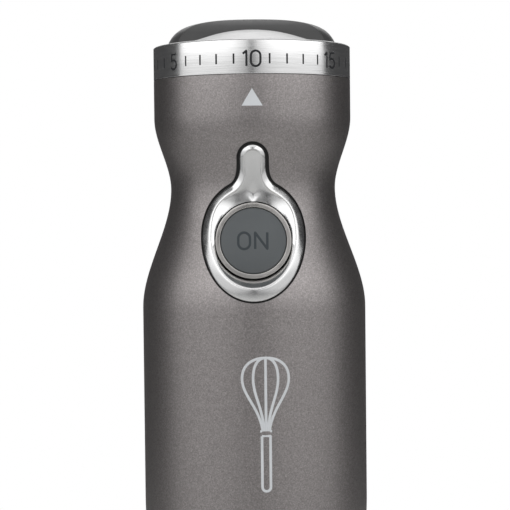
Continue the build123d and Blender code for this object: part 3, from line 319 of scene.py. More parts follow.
def pen_drawing(name, strokes, width, thickness=0.05 * mm):
    """Draws strokes of (x, z) points with a round pen and presses them flat, as a printed line."""
    lines = []
    for stroke in strokes:
        line = draw_chain(name, [(x, 0, z) for x, z in crisp(stroke, 0.15 * width)])
        bpy.ops.object.convert(target="CURVE")
        line = bpy.context.object
        line.data.bevel_depth = width / 2
        line.data.bevel_resolution = 2
        line.data.use_fill_caps = True
        bpy.ops.object.convert(target="MESH")
        lines.append(bpy.context.object)
    drawing = join(lines)
    drawing.name = name
    for vert in drawing.data.vertices:
        vert.co.y *= thickness / width
    return drawing


def arc(centre, radius, start, end, steps=12, squeeze=1.0):
    """Points on an arc, angles in degrees from +X towards +Z; squeeze flattens it in height."""
    points = []
    for i in range(steps + 1):
        angle = math.radians(start + (end - start) * i / steps)
        points.append((centre[0] + radius * math.cos(angle), centre[1] + squeeze * radius * math.sin(angle)))
    return points


def heights(start_z, end_z, steps):
    """Evenly spaced heights from one to the other, the first one left out."""
    return [start_z + (end_z - start_z) * (i + 1) / steps for i in range(steps)]


# ---------------------------------------------------------------- material helpers

def colour_ramp(nodes, links, factor, stops):
    """Turns a factor into a colour, by (position, colour) stops."""
    node = nodes.new("ShaderNodeValToRGB")
    elements = node.color_ramp.elements
    while len(elements) < len(stops):
        elements.new(0.5)
    for element, (position, colour) in zip(elements, stops):
        element.position = position
        element.color = (*colour, 1)
    links.new(factor, node.inputs[0])
    return node.outputs[0]


class Finish:
    """A node material with one Principled shader, read in the object's own coordinates."""

    def __init__(self, name, colour, roughness, metallic=0.0):
        self.material = bpy.data.materials.new(name)
        self.material.use_nodes = True
        self.nodes = self.material.node_tree.nodes
        self.links = self.material.node_tree.links
        self.shader = self.nodes["Principled BSDF"]
        self.shader.inputs["Base Color"].default_value = (*colour, 1)
        self.shader.inputs["Roughness"].default_value = roughness
        self.shader.inputs["Metallic"].default_value = metallic
        self.place = self.nodes.new("ShaderNodeTexCoord").outputs["Object"]

    def math(self, operation, a, b=None):
        node = self.nodes.new("ShaderNodeMath")
        node.operation = operation
        for socket, value in zip(node.inputs, (a, b)):
            if value is None:
                continue
            if isinstance(value, (int, float)):
                socket.default_value = value
            else:
                self.links.new(value, socket)
        return node.outputs[0]

    def noise(self, scale, detail=2.0, place=None):
        node = self.nodes.new("ShaderNodeTexNoise")
        node.inputs["Scale"].default_value = scale
        node.inputs["Detail"].default_value = detail
        self.links.new(place or self.place, node.inputs["Vector"])
        return node.outputs[0]

    def flakes(self, scale):
        node = self.nodes.new("ShaderNodeTexVoronoi")
        node.inputs["Scale"].default_value = scale
        self.links.new(self.place, node.inputs["Vector"])
        return node.outputs["Color"]

    def ramp(self, factor, *stops):
        return colour_ramp(self.nodes, self.links, factor, stops)

    def remap(self, value, low, high, from_low=0.0, from_high=1.0):
        node = self.nodes.new("ShaderNodeMapRange")
        self.links.new(value, node.inputs[0])
        for i, number in enumerate((from_low, from_high, low, high), start=1):
            node.inputs[i].default_value = number
        return node.outputs[0]

    def bump(self, height, strength, distance):
        node = self.nodes.new("ShaderNodeBump")
        node.inputs["Strength"].default_value = strength
        node.inputs["Distance"].default_value = distance
        self.links.new(height, node.inputs["Height"])
        self.links.new(node.outputs[0], self.shader.inputs["Normal"])
        return self

    def colour(self, socket):
        self.links.new(socket, self.shader.inputs["Base Color"])
        return self

    def rough(self, socket):
        self.links.new(socket, self.shader.inputs["Roughness"])
        return self

    def times(self, a, b):
        return self.math("MULTIPLY", a, b)

    def axes(self):
        """The x, y and z of the object's own coordinates."""
        split = self.nodes.new("ShaderNodeSeparateXYZ")
        self.links.new(self.place, split.inputs[0])
        return split.outputs

    def vector(self, *parts):
        node = self.nodes.new("ShaderNodeCombineXYZ")
        for part, socket in zip(parts, node.inputs):
            self.links.new(part, socket)
        return node.outputs[0]

    def turned_place(self, along, across):
        """Coordinates for marks that run round the axis: slow along the turn, quick across it."""
        x, y, z = self.axes()
        angle = self.math("ARCTAN2", y, x)
        radius = self.math("SQRT", self.math("ADD", self.times(x, x), self.times(y, y)))
        return self.vector(self.times(angle, along), self.times(z, across), self.times(radius, across))

    def lengthwise_place(self, along, across):
        """Coordinates for marks that run up the axis: slow along it, quick round it."""
        x, y, z = self.axes()
        return self.vector(self.times(x, across), self.times(y, across), self.times(z, along))


def grey(level, warm=0.0):
    """A linear grey, a little warmer or cooler."""
    return (level * (1 + warm), level, level * (1 - warm))


def scaled(colour, factor):
    return tuple(c * factor for c in colour)


# ---------------------------------------------------------------- finishes

def lacquer_finish():
    """Warm grey metallic lacquer: fine flakes that catch the light under a satin clear coat."""
    base = (0.290, 0.271, 0.268)
    finish = Finish("body lacquer", base, 0.40, 1.0)
    flakes = finish.flakes(3600)
    cloud = finish.noise(2600, 3)
    mixed = finish.math("ADD", finish.times(flakes, 0.55), finish.times(cloud, 0.45))
    finish.colour(finish.ramp(mixed, (0.15, scaled(base, 0.72)), (0.5, base), (0.85, scaled(base, 1.38))))
    finish.rough(finish.remap(cloud, 0.36, 0.46))
    finish.bump(mixed, 0.22, 0.05 * mm)
    return finish.material


def brushed_finish(name, level, roughness, lengthwise=False):
    """Steel with fine brush marks, round the axis or up along it."""
    finish = Finish(name, grey(level), roughness, 1.0)
    if lengthwise:
        fine = finish.noise(1.0, 3, finish.lengthwise_place(60, 9000))
        broad = finish.noise(1.0, 2, finish.lengthwise_place(25, 1800))
    else:
        fine = finish.noise(1.0, 3, finish.turned_place(5, 9000))
        broad = finish.noise(1.0, 2, finish.turned_place(2, 2600))
    marks = finish.math("ADD", finish.times(fine, 0.65), finish.times(broad, 0.35))
    dark, middle, light = (grey(level * share) for share in (0.80, 0.97, 1.05))
    finish.colour(finish.ramp(marks, (0.3, dark), (0.5, middle), (0.7, light)))
    finish.rough(finish.remap(marks, roughness * 0.8, roughness * 1.25, 0.3, 0.7))
    finish.bump(marks, 0.25, 0.02 * mm)
    return finish.material


def crown_finish():
    """The dial's top: the same steel, brushed in circles coarsely enough to look evenly bright."""
    finish = Finish("brushed dial top", grey(0.86), 0.5, 0.35)
    marks = finish.noise(1.0, 3, finish.turned_place(4, 5200))
    finish.colour(finish.ramp(marks, (0.3, grey(0.78)), (0.7, grey(0.92))))
    finish.rough(finish.remap(marks, 0.44, 0.58, 0.3, 0.7))
    finish.bump(marks, 0.3, 0.03 * mm)
    return finish.material


def polished_finish(name, level, roughness, warm=0.0):
    """Plated or polished metal with a faint haze and hairline marks."""
    finish = Finish(name, grey(level, warm), roughness, 1.0)
    haze = finish.noise(240, 4)
    finish.rough(finish.remap(haze, roughness * 0.75, roughness * 1.4, 0.3, 0.7))
    finish.colour(finish.ramp(haze, (0.3, grey(level * 0.95, warm)), (0.7, grey(level * 1.03, warm))))
    finish.bump(finish.noise(1400, 2), 0.03, 0.02 * mm)
    return finish.material


def moulded_finish(name, colour, roughness, grain=2600, depth=0.02, specular=0.5):
    """Moulded plastic or rubber: a fine grain and slightly uneven gloss."""
    finish = Finish(name, colour, roughness)
    finish.shader.inputs["Specular IOR Level"].default_value = specular
    fine = finish.noise(grain, 3)
    cloud = finish.noise(90, 3)
    finish.rough(finish.remap(cloud, roughness * 0.9, min(1.0, roughness * 1.12), 0.3, 0.7))
    finish.colour(finish.ramp(cloud, (0.3, scaled(colour, 0.93)), (0.7, scaled(colour, 1.06))))
    finish.bump(fine, 0.3, depth * mm)
    return finish.material


def grip_finish():
    """Dark gloss plastic of the dial's grip, its colour painted lighter towards its top edge: a painted
    highlight for the light that its rounded top reflects.
    """
    finish = Finish("dark gloss grip", (0.05, 0.05, 0.052), 0.36)
    finish.shader.inputs["Specular IOR Level"].default_value = 0.4
    # Painted highlight: over the grip's top 4.2 mm the base colour ramps from near black up to mid grey,
    # standing in for the reflection of the light above; the noise only adds random tone.
    highlight_fade_height = 4.2 * mm
    height = finish.remap(finish.axes()[2], 0.0, 1.0, grip_high.z - highlight_fade_height, grip_high.z)
    cloud = finish.times(finish.noise(300, 3), 0.06)
    painted_highlight_and_tone = finish.math("ADD", height, cloud)
    stops = [(0.1, grey(0.052)), (0.55, grey(0.075)), (0.85, grey(0.14)), (1.0, grey(0.20))]
    finish.colour(finish.ramp(painted_highlight_and_tone, *stops))
    finish.rough(finish.remap(finish.noise(90, 3), 0.32, 0.40, 0.3, 0.7))
    finish.bump(finish.noise(900, 3), 0.3, 0.004 * mm)
    return finish.material


def winding_finish():
    """Enamelled copper wire laid side by side."""
    finish = Finish("copper winding", (0.55, 0.2, 0.08), 0.32, 0.85)
    wires = finish.noise(1.0, 1, finish.turned_place(14, 2400))
    finish.colour(finish.ramp(wires, (0.35, (0.24, 0.07, 0.025)), (0.62, (0.68, 0.27, 0.11))))
    finish.bump(wires, 0.8, 0.2 * mm)
    return finish.material


def lamination_finish():
    """Stacked steel sheets seen edge on."""
    finish = Finish("core laminations", (0.16, 0.16, 0.17), 0.45, 0.8)
    sheet = 0.5 * mm
    sheets = finish.math("SINE", finish.times(finish.axes()[2], TURN / sheet))
    finish.colour(finish.ramp(sheets, (0.1, (0.06, 0.06, 0.065)), (0.6, (0.2, 0.2, 0.21))))
    finish.bump(sheets, 0.5, 0.08 * mm)
    return finish.material


def board_finish():
    """Green solder mask with faint copper tracks under it."""
    finish = Finish("circuit board", (0.01, 0.09, 0.035), 0.3)
    tracks = finish.noise(420, 0)
    mask = (0.008, 0.075, 0.03)
    track = (0.02, 0.15, 0.05)
    finish.colour(finish.ramp(tracks, (0.46, mask), (0.5, track), (0.54, mask)))
    finish.bump(tracks, 0.3, 0.05 * mm)
    return finish.material


FINISHES = {
    "body_lacquer": lacquer_finish(),
    "brushed_ring": brushed_finish("brushed dial steel", 0.86, 0.20),
    "brushed_crown": crown_finish(),
    "bright_trim": polished_finish("bright trim chrome", 0.66, 0.19),
    "grip_gloss": grip_finish(),
    "pad_print": moulded_finish("pad lettering", (0.044, 0.052, 0.058), 0.6, 2500, 0.01, 0.3),
    "dark_gloss": moulded_finish("dark gloss plastic", (0.052, 0.052, 0.054), 0.34, 900, 0.004),
    "soft_grey": moulded_finish("soft grey pad", (0.106, 0.115, 0.120), 0.55, 3000, 0.02, 0.35),
    "satin_ring": polished_finish("satin button ring", 0.50, 0.32, 0.03),
    "black_plastic": moulded_finish("black moulded plastic", (0.022, 0.022, 0.024), 0.45),
    "black_rubber": moulded_finish("black rubber", (0.012, 0.012, 0.012), 0.7, 1800, 0.03, 0.3),
    "natural_nylon": moulded_finish("natural nylon", (0.62, 0.58, 0.50), 0.5, 1500, 0.03),
    "stainless_tube": brushed_finish("stainless tube", 0.66, 0.24, lengthwise=True),
    "turned_steel": brushed_finish("turned stainless bell", 0.66, 0.24),
    "polished_steel": polished_finish("polished blade steel", 0.68, 0.14),
    "bearing_steel": polished_finish("ground steel", 0.55, 0.25),
    "spring_steel": polished_finish("spring wire", 0.40, 0.30),
    "core_laminations": lamination_finish(),
    "copper_winding": winding_finish(),
    "commutator_copper": polished_finish("commutator copper", 0.42, 0.30, 0.45),
    "brass_part": polished_finish("brass", 0.50, 0.28, 0.30),
    "carbon": moulded_finish("pressed carbon", (0.02, 0.02, 0.02), 0.5, 2000, 0.03),
    "board_green": board_finish(),
    "capacitor_case": moulded_finish("capacitor case", (0.55, 0.33, 0.03), 0.3, 1200, 0.01),
    "heatsink_metal": brushed_finish("heatsink metal", 0.6, 0.35, lengthwise=True),
    "white_print": moulded_finish("light grey print", (0.60, 0.62, 0.64), 0.45, 2500, 0.01),
    "dark_print": moulded_finish("dark grey print", (0.018, 0.019, 0.021), 0.6, 2500, 0.01, 0.25),
}


def dress(piece, body, finish, replaces=()):
    """Gives a piece its finish, body and slot, and hides the CAD nodes that it stands for."""
    piece.data.materials.clear()
    piece.data.materials.append(FINISHES[finish])
    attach(piece, body)
    if replaces:
        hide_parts(*replaces)
    return piece


# ---------------------------------------------------------------- keyhole outline

bezel_half_width = bezel_high.x
bezel_bottom_z = bezel_low.z
bezel_top_z = bezel_high.z
bezel_middle_z = button_z + 1.0 * mm
spout_half_width = 3.6 * mm
neck_x = 6.3 * mm
neck_z = button_z + 14.85 * mm
gasket_width = 0.85 * mm
QUARTER = 0.5523
EGG_STEPS = (28, 20)
NECK_STEPS = 12
SPOUT_STEPS = 4
ARC_STEPS = 10


def keyhole_half(grow, egg_share=1.0, bottom_share=1.0, spout_share=1.0):
    """Right half of the keyhole, from its lowest point up to the spout's top, as (x, z) points."""
    side = bezel_half_width + grow * egg_share
    bottom = bezel_bottom_z - grow * egg_share * bottom_share
    spout = spout_half_width + grow * spout_share
    spout_z = bezel_top_z - spout_half_width
    neck = (neck_x + 0.4 * grow, neck_z + 0.7 * grow)
    neck_end = neck[1] + 5.3 * mm + 0.2 * grow
    below = bezel_middle_z - bottom
    half = [(0.0, bottom)]
    half += bezier(
        [(0, bottom), (QUARTER * side, bottom),
         (side, bezel_middle_z - QUARTER * below), (side, bezel_middle_z)], EGG_STEPS[0]
    )
    half += bezier(
        [(side, bezel_middle_z), (side, bezel_middle_z + 7.2 * mm),
         (neck[0] + 4.4 * mm, neck[1] - 2.45 * mm), neck], EGG_STEPS[1]
    )
    half += bezier(
        [neck, (neck[0] - 1.6 * mm, neck[1] + 0.9 * mm),
         (spout, neck[1] + 2.65 * mm), (spout, neck_end)], NECK_STEPS
    )
    half += [(spout, z) for z in heights(neck_end, spout_z, SPOUT_STEPS)]
    half += arc((0, spout_z), spout, 0, 90, ARC_STEPS)[1:]
    return half


def mirrored(half):
    """Adds the left half to points of the right half whose first and last lie on the middle."""
    return half + [(-point[0], *point[1:]) for point in reversed(half[1:-1])]


# ---------------------------------------------------------------- housing

def housing_outline():
    """Closed outline of the shell's wall: fine outside, plain inside."""
    seam_z = shell_top_z + 0.18 * mm
    outer = [(hem_radius, shell_z), (hem_radius, hem_z)]
    for low_z, high_z, steps in (
        (hem_z, belly_z, 36), (belly_z, shoulder_z, 10), (shoulder_z, waist_z, 40), (waist_z, head_z, 30),
    ):
        outer += [(housing_radius(z), z) for z in heights(low_z, high_z, steps)]
    outer[0] = (hem_radius, shell_z + 0.25 * mm)
    outer += corner((head_radius, head_z), (head_radius, seam_z), (0, seam_z), 0.12 * mm)
    inner = [(head_radius - shell_wall, seam_z), (head_radius - shell_wall, head_z)]
    for high_z, low_z, steps in (
        (head_z, waist_z, 8), (waist_z, shoulder_z, 10), (shoulder_z, belly_z, 1), (belly_z, hem_z, 8),
    ):
        inner += [(housing_radius(z) - shell_wall, z) for z in heights(high_z, low_z, steps)]
    inner += [(hem_radius - shell_wall, shell_z), (hem_radius - 0.25 * mm, shell_z)]
    return outer + inner


def make_housing():
    """The lacquered shell with its keyhole, lever windows and cord hole cut through."""
    shell = turned("housing_shell_lacquered", housing_outline(), 224)
    past_shell = 40 * mm
    hole = prism("keyhole_cutter", mirrored(keyhole_half(gasket_width, 0.5)), -past_shell, -5 * mm)
    lever_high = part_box("release_lever_right")[1]
    gap = 0.7 * mm
    pad_height = 14 * mm
    rounding = 3 * mm
    low_z = lever_high.z - pad_height - gap
    high_z = lever_high.z + gap
    half = lever_high.y + gap
    corners = [(-half, low_z), (half, low_z), (half, high_z), (-half, high_z)]
    window_outline = rounded_outline([(x, z, rounding) for x, z in corners])
    window = prism("lever_window_cutter", window_outline, -past_shell, past_shell)
    window.rotation_euler = (0, 0, math.radians(90))
    settle(window)
    gland_low, gland_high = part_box("cord_gland")
    gland_z = (gland_low.z + gland_high.z) / 2
    gland_radius = 5.55 * mm
    gland = round_bar("gland_cutter", gland_radius, (0, 10 * mm, gland_z), (0, past_shell, gland_z))
    cut(shell, hole, window, gland)
    clean(shell)
    dress(shell, "housing", "body_lacquer", replaces=["housing_shell"])


def make_pointer():
    """Light triangle under the dial's scale."""
    apex_z = 383.45 * mm
    base_z = 378.7 * mm
    half = 2.87 * mm
    corners = [(-half, 0, base_z), (half, 0, base_z), (0, 0, apex_z)]
    pointer = draw_chain("dial_pointer_mark", corners, closed=True)
    edit_all()
    bpy.ops.mesh.edge_face_add()
    bpy.ops.mesh.subdivide(number_cuts=11)
    bpy.ops.mesh.extrude_region_move(TRANSFORM_OT_translate={"value": (0, -2 * print_lift, 0)})
    bpy.ops.mesh.select_all(action="SELECT")
    bpy.ops.transform.translate(value=(0, print_lift, 0))
    bpy.ops.mesh.normals_make_consistent(inside=False)
    bpy.ops.object.mode_set(mode="OBJECT")
    wrap(pointer, lambda z: head_radius)
    dress(pointer, "housing", "white_print")


def whisk_strokes():
    """Line drawing of a hand whisk, upright: wires round a teardrop, a collar and a handle."""
    foot = 274.4 * mm
    handle_top = foot + 15.0 * mm
    wires_top = foot + 36.2 * mm
    centre = 2.9 * mm
    handle = 1.15 * mm
    collar_z = handle_top + 1.3 * mm
    collar_half = 1.6 * mm
    outer_spread = 6.4 * mm
    inner_spread = 3.4 * mm
    strokes = []
    strokes.append([(centre - handle, handle_top), (centre - handle, foot + handle)]
                   + arc((centre, foot + handle), handle, 180, 360, 10)
                   + [(centre + handle, handle_top), (centre - handle, handle_top)])
    strokes.append([(centre - collar_half, collar_z), (centre + collar_half, collar_z)])
    for width in (outer_spread, inner_spread):
        start = (centre + 0.9 * mm * width / outer_spread, collar_z)
        side = bezier([start, (centre + 0.28 * width, handle_top + 8 * mm),
                       (centre + width, handle_top + 11 * mm), (centre + width, wires_top - 5.6 * mm)], 14)
        top = bezier([side[-1], (centre + width, wires_top - 1.8 * mm),
                      (centre + 0.55 * width, wires_top), (centre, wires_top)], 10)
        right = [start] + side + top
        left = [(2 * centre - x, z) for x, z in reversed(right[:-1])]
        strokes.append(right + left)
    strokes.append([(centre, collar_z), (centre, wires_top)])
    return strokes


def make_whisk_mark():
    """Printed whisk on the front of the grip, a plain picture in place of any lettering."""
    line_width = 0.72 * mm
    mark = pen_drawing("whisk_mark", whisk_strokes(), line_width)
    wrap(mark, housing_radius)
    dress(clean(mark), "housing", "white_print")


# ---------------------------------------------------------------- dial

grip_end_radius = grip_high.x
crown_base_z = dial_top_z + 0.5 * mm
crown_rise = 4.8 * mm
crown_top_z = crown_base_z + crown_rise


def crown_curve(steps=24):
    """Dome of the dial's top, from the grip's ends in to the axis."""
    return bezier(
        [(grip_end_radius, crown_base_z), (0.72 * grip_end_radius, crown_base_z + 0.05 * crown_rise),
         (0.6 * grip_end_radius, crown_top_z), (0, crown_top_z)], steps
    )


def make_dial_ring():
    """Brushed wall of the dial, and the rounded shoulder and dome on top of it as a piece of their own."""
    wall_top = dial_top_z - 0.1 * mm
    inner = head_radius - 2 * mm
    floor_z = dial_top_z - 2 * mm
    outline = [(head_radius - 1.2 * mm, dial_z)]
    outline += corner((0, dial_z), (head_radius, dial_z), (head_radius, wall_top), 0.12 * mm)
    outline += corner((head_radius, dial_z), (head_radius, wall_top), (0, wall_top), 0.12 * mm, 3)
    outline += [(head_radius - 0.3 * mm, wall_top - 0.1 * mm), (head_radius - 0.6 * mm, wall_top - 0.1 * mm)]
    outline += [(head_radius - 0.6 * mm, floor_z), (inner, floor_z), (inner, dial_z)]
    ring = turned("dial_ring_brushed", outline, 224)
    dress(ring, "dial", "brushed_ring", replaces=["dial_knob"])

    gap = head_radius - 1.0 * mm
    dome = [(gap, wall_top - 0.08 * mm), (gap, wall_top + 0.14 * mm)]
    dome += [(head_radius - 0.36 * mm, wall_top + 0.18 * mm)]
    dome += bezier(
        [dome[-1], (head_radius - 0.45 * mm, dial_top_z + 0.32 * mm),
         (head_radius - 2.3 * mm, crown_base_z - 0.05 * mm), (grip_end_radius, crown_base_z)], 12
    )
    dome += crown_curve()
    dome += [(0, floor_z + 0.1 * mm), (gap, floor_z + 0.1 * mm)]
    crown = turned("dial_crown_brushed", dome, 224)
    dress(crown, "dial", "brushed_crown")


DIGITS = {
    "0": [arc((1.3, 2.85), 1.3, 0, 180, 12) + arc((1.3, 1.3), 1.3, 180, 360, 12) + [(2.6, 2.85)]],
    "1": [[(0.0, 3.35), (1.0, 4.15), (1.0, 0.0)]],
    "2": [arc((1.1, 3.05), 1.1, 165, -38, 12) + [(0.0, 0.0), (2.3, 0.0)]],
    "5": [[(2.1, 4.15), (0.3, 4.15), (0.1, 2.35)] + arc((1.05, 1.35), 1.25, 128, -145, 16)],
}
DIGIT_WIDTH = {"0": 2.6, "1": 1.0, "2": 2.3, "5": 2.25}
DIGIT_GAP = 1.2


def number_strokes(text, centre_z):
    """Strokes of a number in plain thin digits, centred on x = 0."""
    total = sum(DIGIT_WIDTH[c] for c in text) + DIGIT_GAP * (len(text) - 1)
    x = -total / 2
    strokes = []
    for c in text:
        for stroke in DIGITS[c]:
            strokes.append([((x + px) * mm, centre_z + (pz - 2.07) * mm) for px, pz in stroke])
        x += DIGIT_WIDTH[c] + DIGIT_GAP
    return strokes


def make_dial_scale():
    """Numbers and ticks printed round the dial, ten degrees apart, the 10 at the front."""
    middle_z = 391.45 * mm
    tick_half = 1.38 * mm
    number_width = 0.6 * mm
    tick_width = 0.5 * mm
    step = math.radians(10)
    front_value = 10
    marks = []
    for value in range(1, 21):
        turn = Matrix.Rotation((value - front_value) * step, 4, "Z")
        if value in (1, 5, 10, 15, 20):
            mark = pen_drawing(f"dial_number_{value}", number_strokes(str(value), middle_z), number_width)
        else:
            strokes = [[(0, middle_z - tick_half), (0, middle_z), (0, middle_z + tick_half)]]
            mark = pen_drawing(f"dial_tick_{value}", strokes, tick_width)
        wrap(mark, lambda z: head_radius)
        mark.data.transform(turn)
        marks.append(mark)
    scale_print = join(marks)
    scale_print.name = "dial_scale_print"
    dress(clean(scale_print), "dial", "dark_print")


def make_dial_grip():
    """Glossy cap on the crown: a flat-topped dome with a long shallow hollow in front and behind."""
    top_z = grip_high.z
    rise = top_z - crown_base_z
    lean = 2.4 * mm
    flat_share = 0.76
    foot_z = crown_base_z - mm
    outline = [(0, foot_z), (grip_end_radius, foot_z), (grip_end_radius, crown_base_z)]
    outline += bezier(
        [(grip_end_radius, crown_base_z), (grip_end_radius - lean, crown_base_z + 0.8 * rise),
         (flat_share * grip_end_radius, top_z), (0, top_z)], 30
    )
    cap = turned("dial_grip_cap", outline, 192, closed=False)
    scoop_radius = 95 * mm
    half_width = 10.2 * mm
    scoop_tilt = math.radians(6)
    scoops = []
    for side in (-1, 1):
        y = side * (scoop_radius + half_width)
        scoop = round_bar("scoop", scoop_radius, (0, y, -20 * mm), (0, y, 20 * mm), 512)
        scoop.rotation_euler = (side * scoop_tilt, 0, 0)
        scoop.location = (0, 0, crown_base_z + 1.5 * mm)
        scoops.append(settle(scoop))
    below_z = crown_base_z - 3 * mm
    beyond = grip_end_radius + 3 * mm
    crown_outline = [(0, below_z), (beyond, below_z), (beyond, crown_base_z), (grip_end_radius, crown_base_z)]
    crown = turned("crown_cutter", crown_outline + crown_curve(), 192, closed=False)
    cut(cap, *scoops)
    edge_rounding = 2.0 * mm
    soften(cap, edge_rounding, 6, 28)
    cut(cap, crown)
    clean(cap)
    dress(cap, "dial", "grip_gloss", ["dial_grip"])


# ---------------------------------------------------------------- button and its chrome keyhole

def bezel_inner():
    """Inner line of the dish for each point of keyhole_half: round the button, then up the spout's middle."""
    radius = ring_radius + 0.3 * mm
    side_depth = 25.45 * mm
    lean = 1.6 * mm
    bow = 0.35 * mm
    channel_depth = 0.35 * mm
    inner = []
    round_button = sum(EGG_STEPS) + 4
    up_spout = NECK_STEPS - 4 + SPOUT_STEPS
    for i in range(round_button + 1):
        angle = math.radians(-90 + 180 * i / round_button)
        rise = math.sin(angle)
        depth = side_depth - lean * rise - bow * rise**2
        inner.append((radius * math.cos(angle), -depth, button_z + radius * rise))
    top_z = bezel_top_z - spout_half_width
    start_z = button_z + radius
    for i in range(1, up_spout + ARC_STEPS + 1):
        z = start_z + (top_z - start_z) * min(1.0, i / up_spout)
        inner.append((0.0, -(housing_radius(z) - channel_depth), z))
    return mirrored(inner)


def make_bezel():
    """Chrome keyhole: a band along the shell, a dish down to the button, a channel up the spout."""
    def on_shell(inset, lift):
        row = []
        for x, z in mirrored(keyhole_half(-inset, 1.0, 1.5, 0.6)):
            radius = housing_radius(z) + lift
            row.append((x, -math.sqrt(radius**2 - x**2), z))
        return row

    def part_way(start, end, share):
        return tuple(a + (b - a) * share for a, b in zip(start, end))

    throat_radius = ring_radius + 0.31 * mm
    throat_depth = 4.0 * mm
    spout_from_z = button_z + ring_radius + 1.2 * mm
    band = [(0.0, -3.0), (0.0, -0.25), (0.06, -0.02), (0.2, 0.12), (0.5, 0.28), (0.9, 0.46), (1.3, 0.64),
            (1.7, 0.80), (2.0, 0.90), (2.2, 0.92), (2.35, 0.86), (2.5, 0.72)]
    rows = [on_shell(inset * mm, lift * mm) for inset, lift in band]
    inner_row = bezel_inner()
    crease = rows[-1]
    for share in (0.12, 0.25, 0.38, 0.5, 0.62, 0.75, 0.88):
        rows.append([part_way(start, end, share) for start, end in zip(crease, inner_row)])
    rows.append(inner_row)
    throat = []
    for x, y, z in inner_row:
        inside = math.hypot(x, z - button_z) < throat_radius
        throat.append((x, y + (throat_depth if inside else 0.0), z))
    count = len(rows[0])
    deselect()
    bpy.ops.mesh.primitive_circle_add(vertices=count, radius=bezel_half_width, location=(0, 0, 0))
    bezel = bpy.context.object
    bezel.name = "keyhole_bezel"
    for vert, place in zip(bezel.data.vertices, rows[0]):
        vert.co = place
    bpy.ops.object.mode_set(mode="EDIT")
    for row in rows[1:] + [throat]:
        bpy.ops.mesh.select_mode(type="EDGE")
        bpy.ops.mesh.extrude_edges_move()
        mesh = bmesh.from_edit_mesh(bezel.data)
        mesh.verts.ensure_lookup_table()
        for vert, place in zip(list(mesh.verts)[-count:], row):
            vert.co = place
        bmesh.update_edit_mesh(bezel.data)
    bpy.ops.object.mode_set(mode="OBJECT")
    dish = bezel.vertex_groups.new(name="dish")
    first = len(band) * count
    last = (len(rows) - 1) * count
    dish.add(list(range(first, last)), 1.0, "REPLACE")
    spout = [last + i for i, place in enumerate(inner_row) if place[2] > spout_from_z]
    dish.add(spout, 1.0, "REPLACE")
    dish.add([i + count for i in spout], 1.0, "REPLACE")
    clean(bezel, 50)
    activate(bezel)
    relax = bezel.modifiers.new("relax", "SMOOTH")
    relax.vertex_group = dish.name
    relax.factor = 0.5
    relax.iterations = 240
    bpy.ops.object.modifier_apply(modifier=relax.name)
    clean(bezel, 50)
    dress(bezel, "housing", "bright_trim", replaces=["button_bezel"])


def make_button():
    """Soft pad with a printed ON, in a satin ring."""
    face_y = -button_face
    back_y = face_y + 2.4 * mm
    pad = round_bar("button_pad_soft", pad_radius, (0, face_y, button_z), (0, back_y, button_z), 128)
    soften(pad, 0.45 * mm, 4)
    foot = button_z - 2.25 * mm
    top = 4.5
    letter_o = [arc((1.6, 2.9), 1.6, 0, 180, 12) + arc((1.6, 1.6), 1.6, 180, 360, 12) + [(3.2, 2.9)]]
    letter_n = [[(0.0, 0.0), (0.0, top), (3.3, 0.0), (3.3, top)]]
    stroke_width = 0.68 * mm
    stroke_height = 0.06 * mm
    strokes = []
    for start, letter in ((-4.15, letter_o), (0.45, letter_n)):
        strokes += [[((start + x) * mm, foot + z * mm) for x, z in stroke] for stroke in letter]
    on_print = pen_drawing("button_on_mark", strokes, stroke_width, stroke_height)
    on_print.data.transform(Matrix.Translation((0, face_y, 0)))
    dress(pad, "on_button", "soft_grey", replaces=["button_pad"])
    dress(clean(on_print), "on_button", "pad_print")

    inner = pad_radius + 0.08 * mm
    outer = ring_radius
    depth = 5.0 * mm
    front = face_y - 0.28 * mm
    corners = [(inner, 0.0, 0.25 * mm), (outer, 0.0, 0.4 * mm), (outer, depth, 0), (inner, depth, 0)]
    outline = rounded_outline([(r, -z, k) for r, z, k in corners])
    ring = turned("button_ring_satin", outline, 128)
    ring.data.transform(Matrix.Rotation(math.radians(90), 4, "X"))
    ring.data.transform(Matrix.Translation((0, front, button_z)))
    dress(clean(ring), "on_button", "satin_ring", replaces=["button_rim"])


# ---------------------------------------------------------------- lower end of the housing and the attachment

def node_copy(node_name, name):
    """A free copy of a CAD node's mesh, to be worked on as a piece of its own."""
    node = frame["nodes"][node_name]
    deselect()
    piece = node.copy()
    piece.data = node.data.copy()
    piece.name = name
    bpy.context.collection.objects.link(piece)
    piece.parent = None
    piece.matrix_world = Matrix.Identity(4)
    return clean(piece, 30)


def make_springs():
    """Springs, copied from the CAD coils onto meshes of their own, each attached to the body of the piece it
    pushes.
    """
    coil = node_copy("button_spring", "button_spring_coil")
    dress(coil, "on_button", "spring_steel", replaces=["button_spring"])
    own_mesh(coil)
    for name in ("right", "left"):
        coil = node_copy(f"lever_spring_{name}", f"lever_spring_{name}_coil")
        dress(coil, f"lever_{name}", "spring_steel", replaces=[f"lever_spring_{name}"])
        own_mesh(coil)


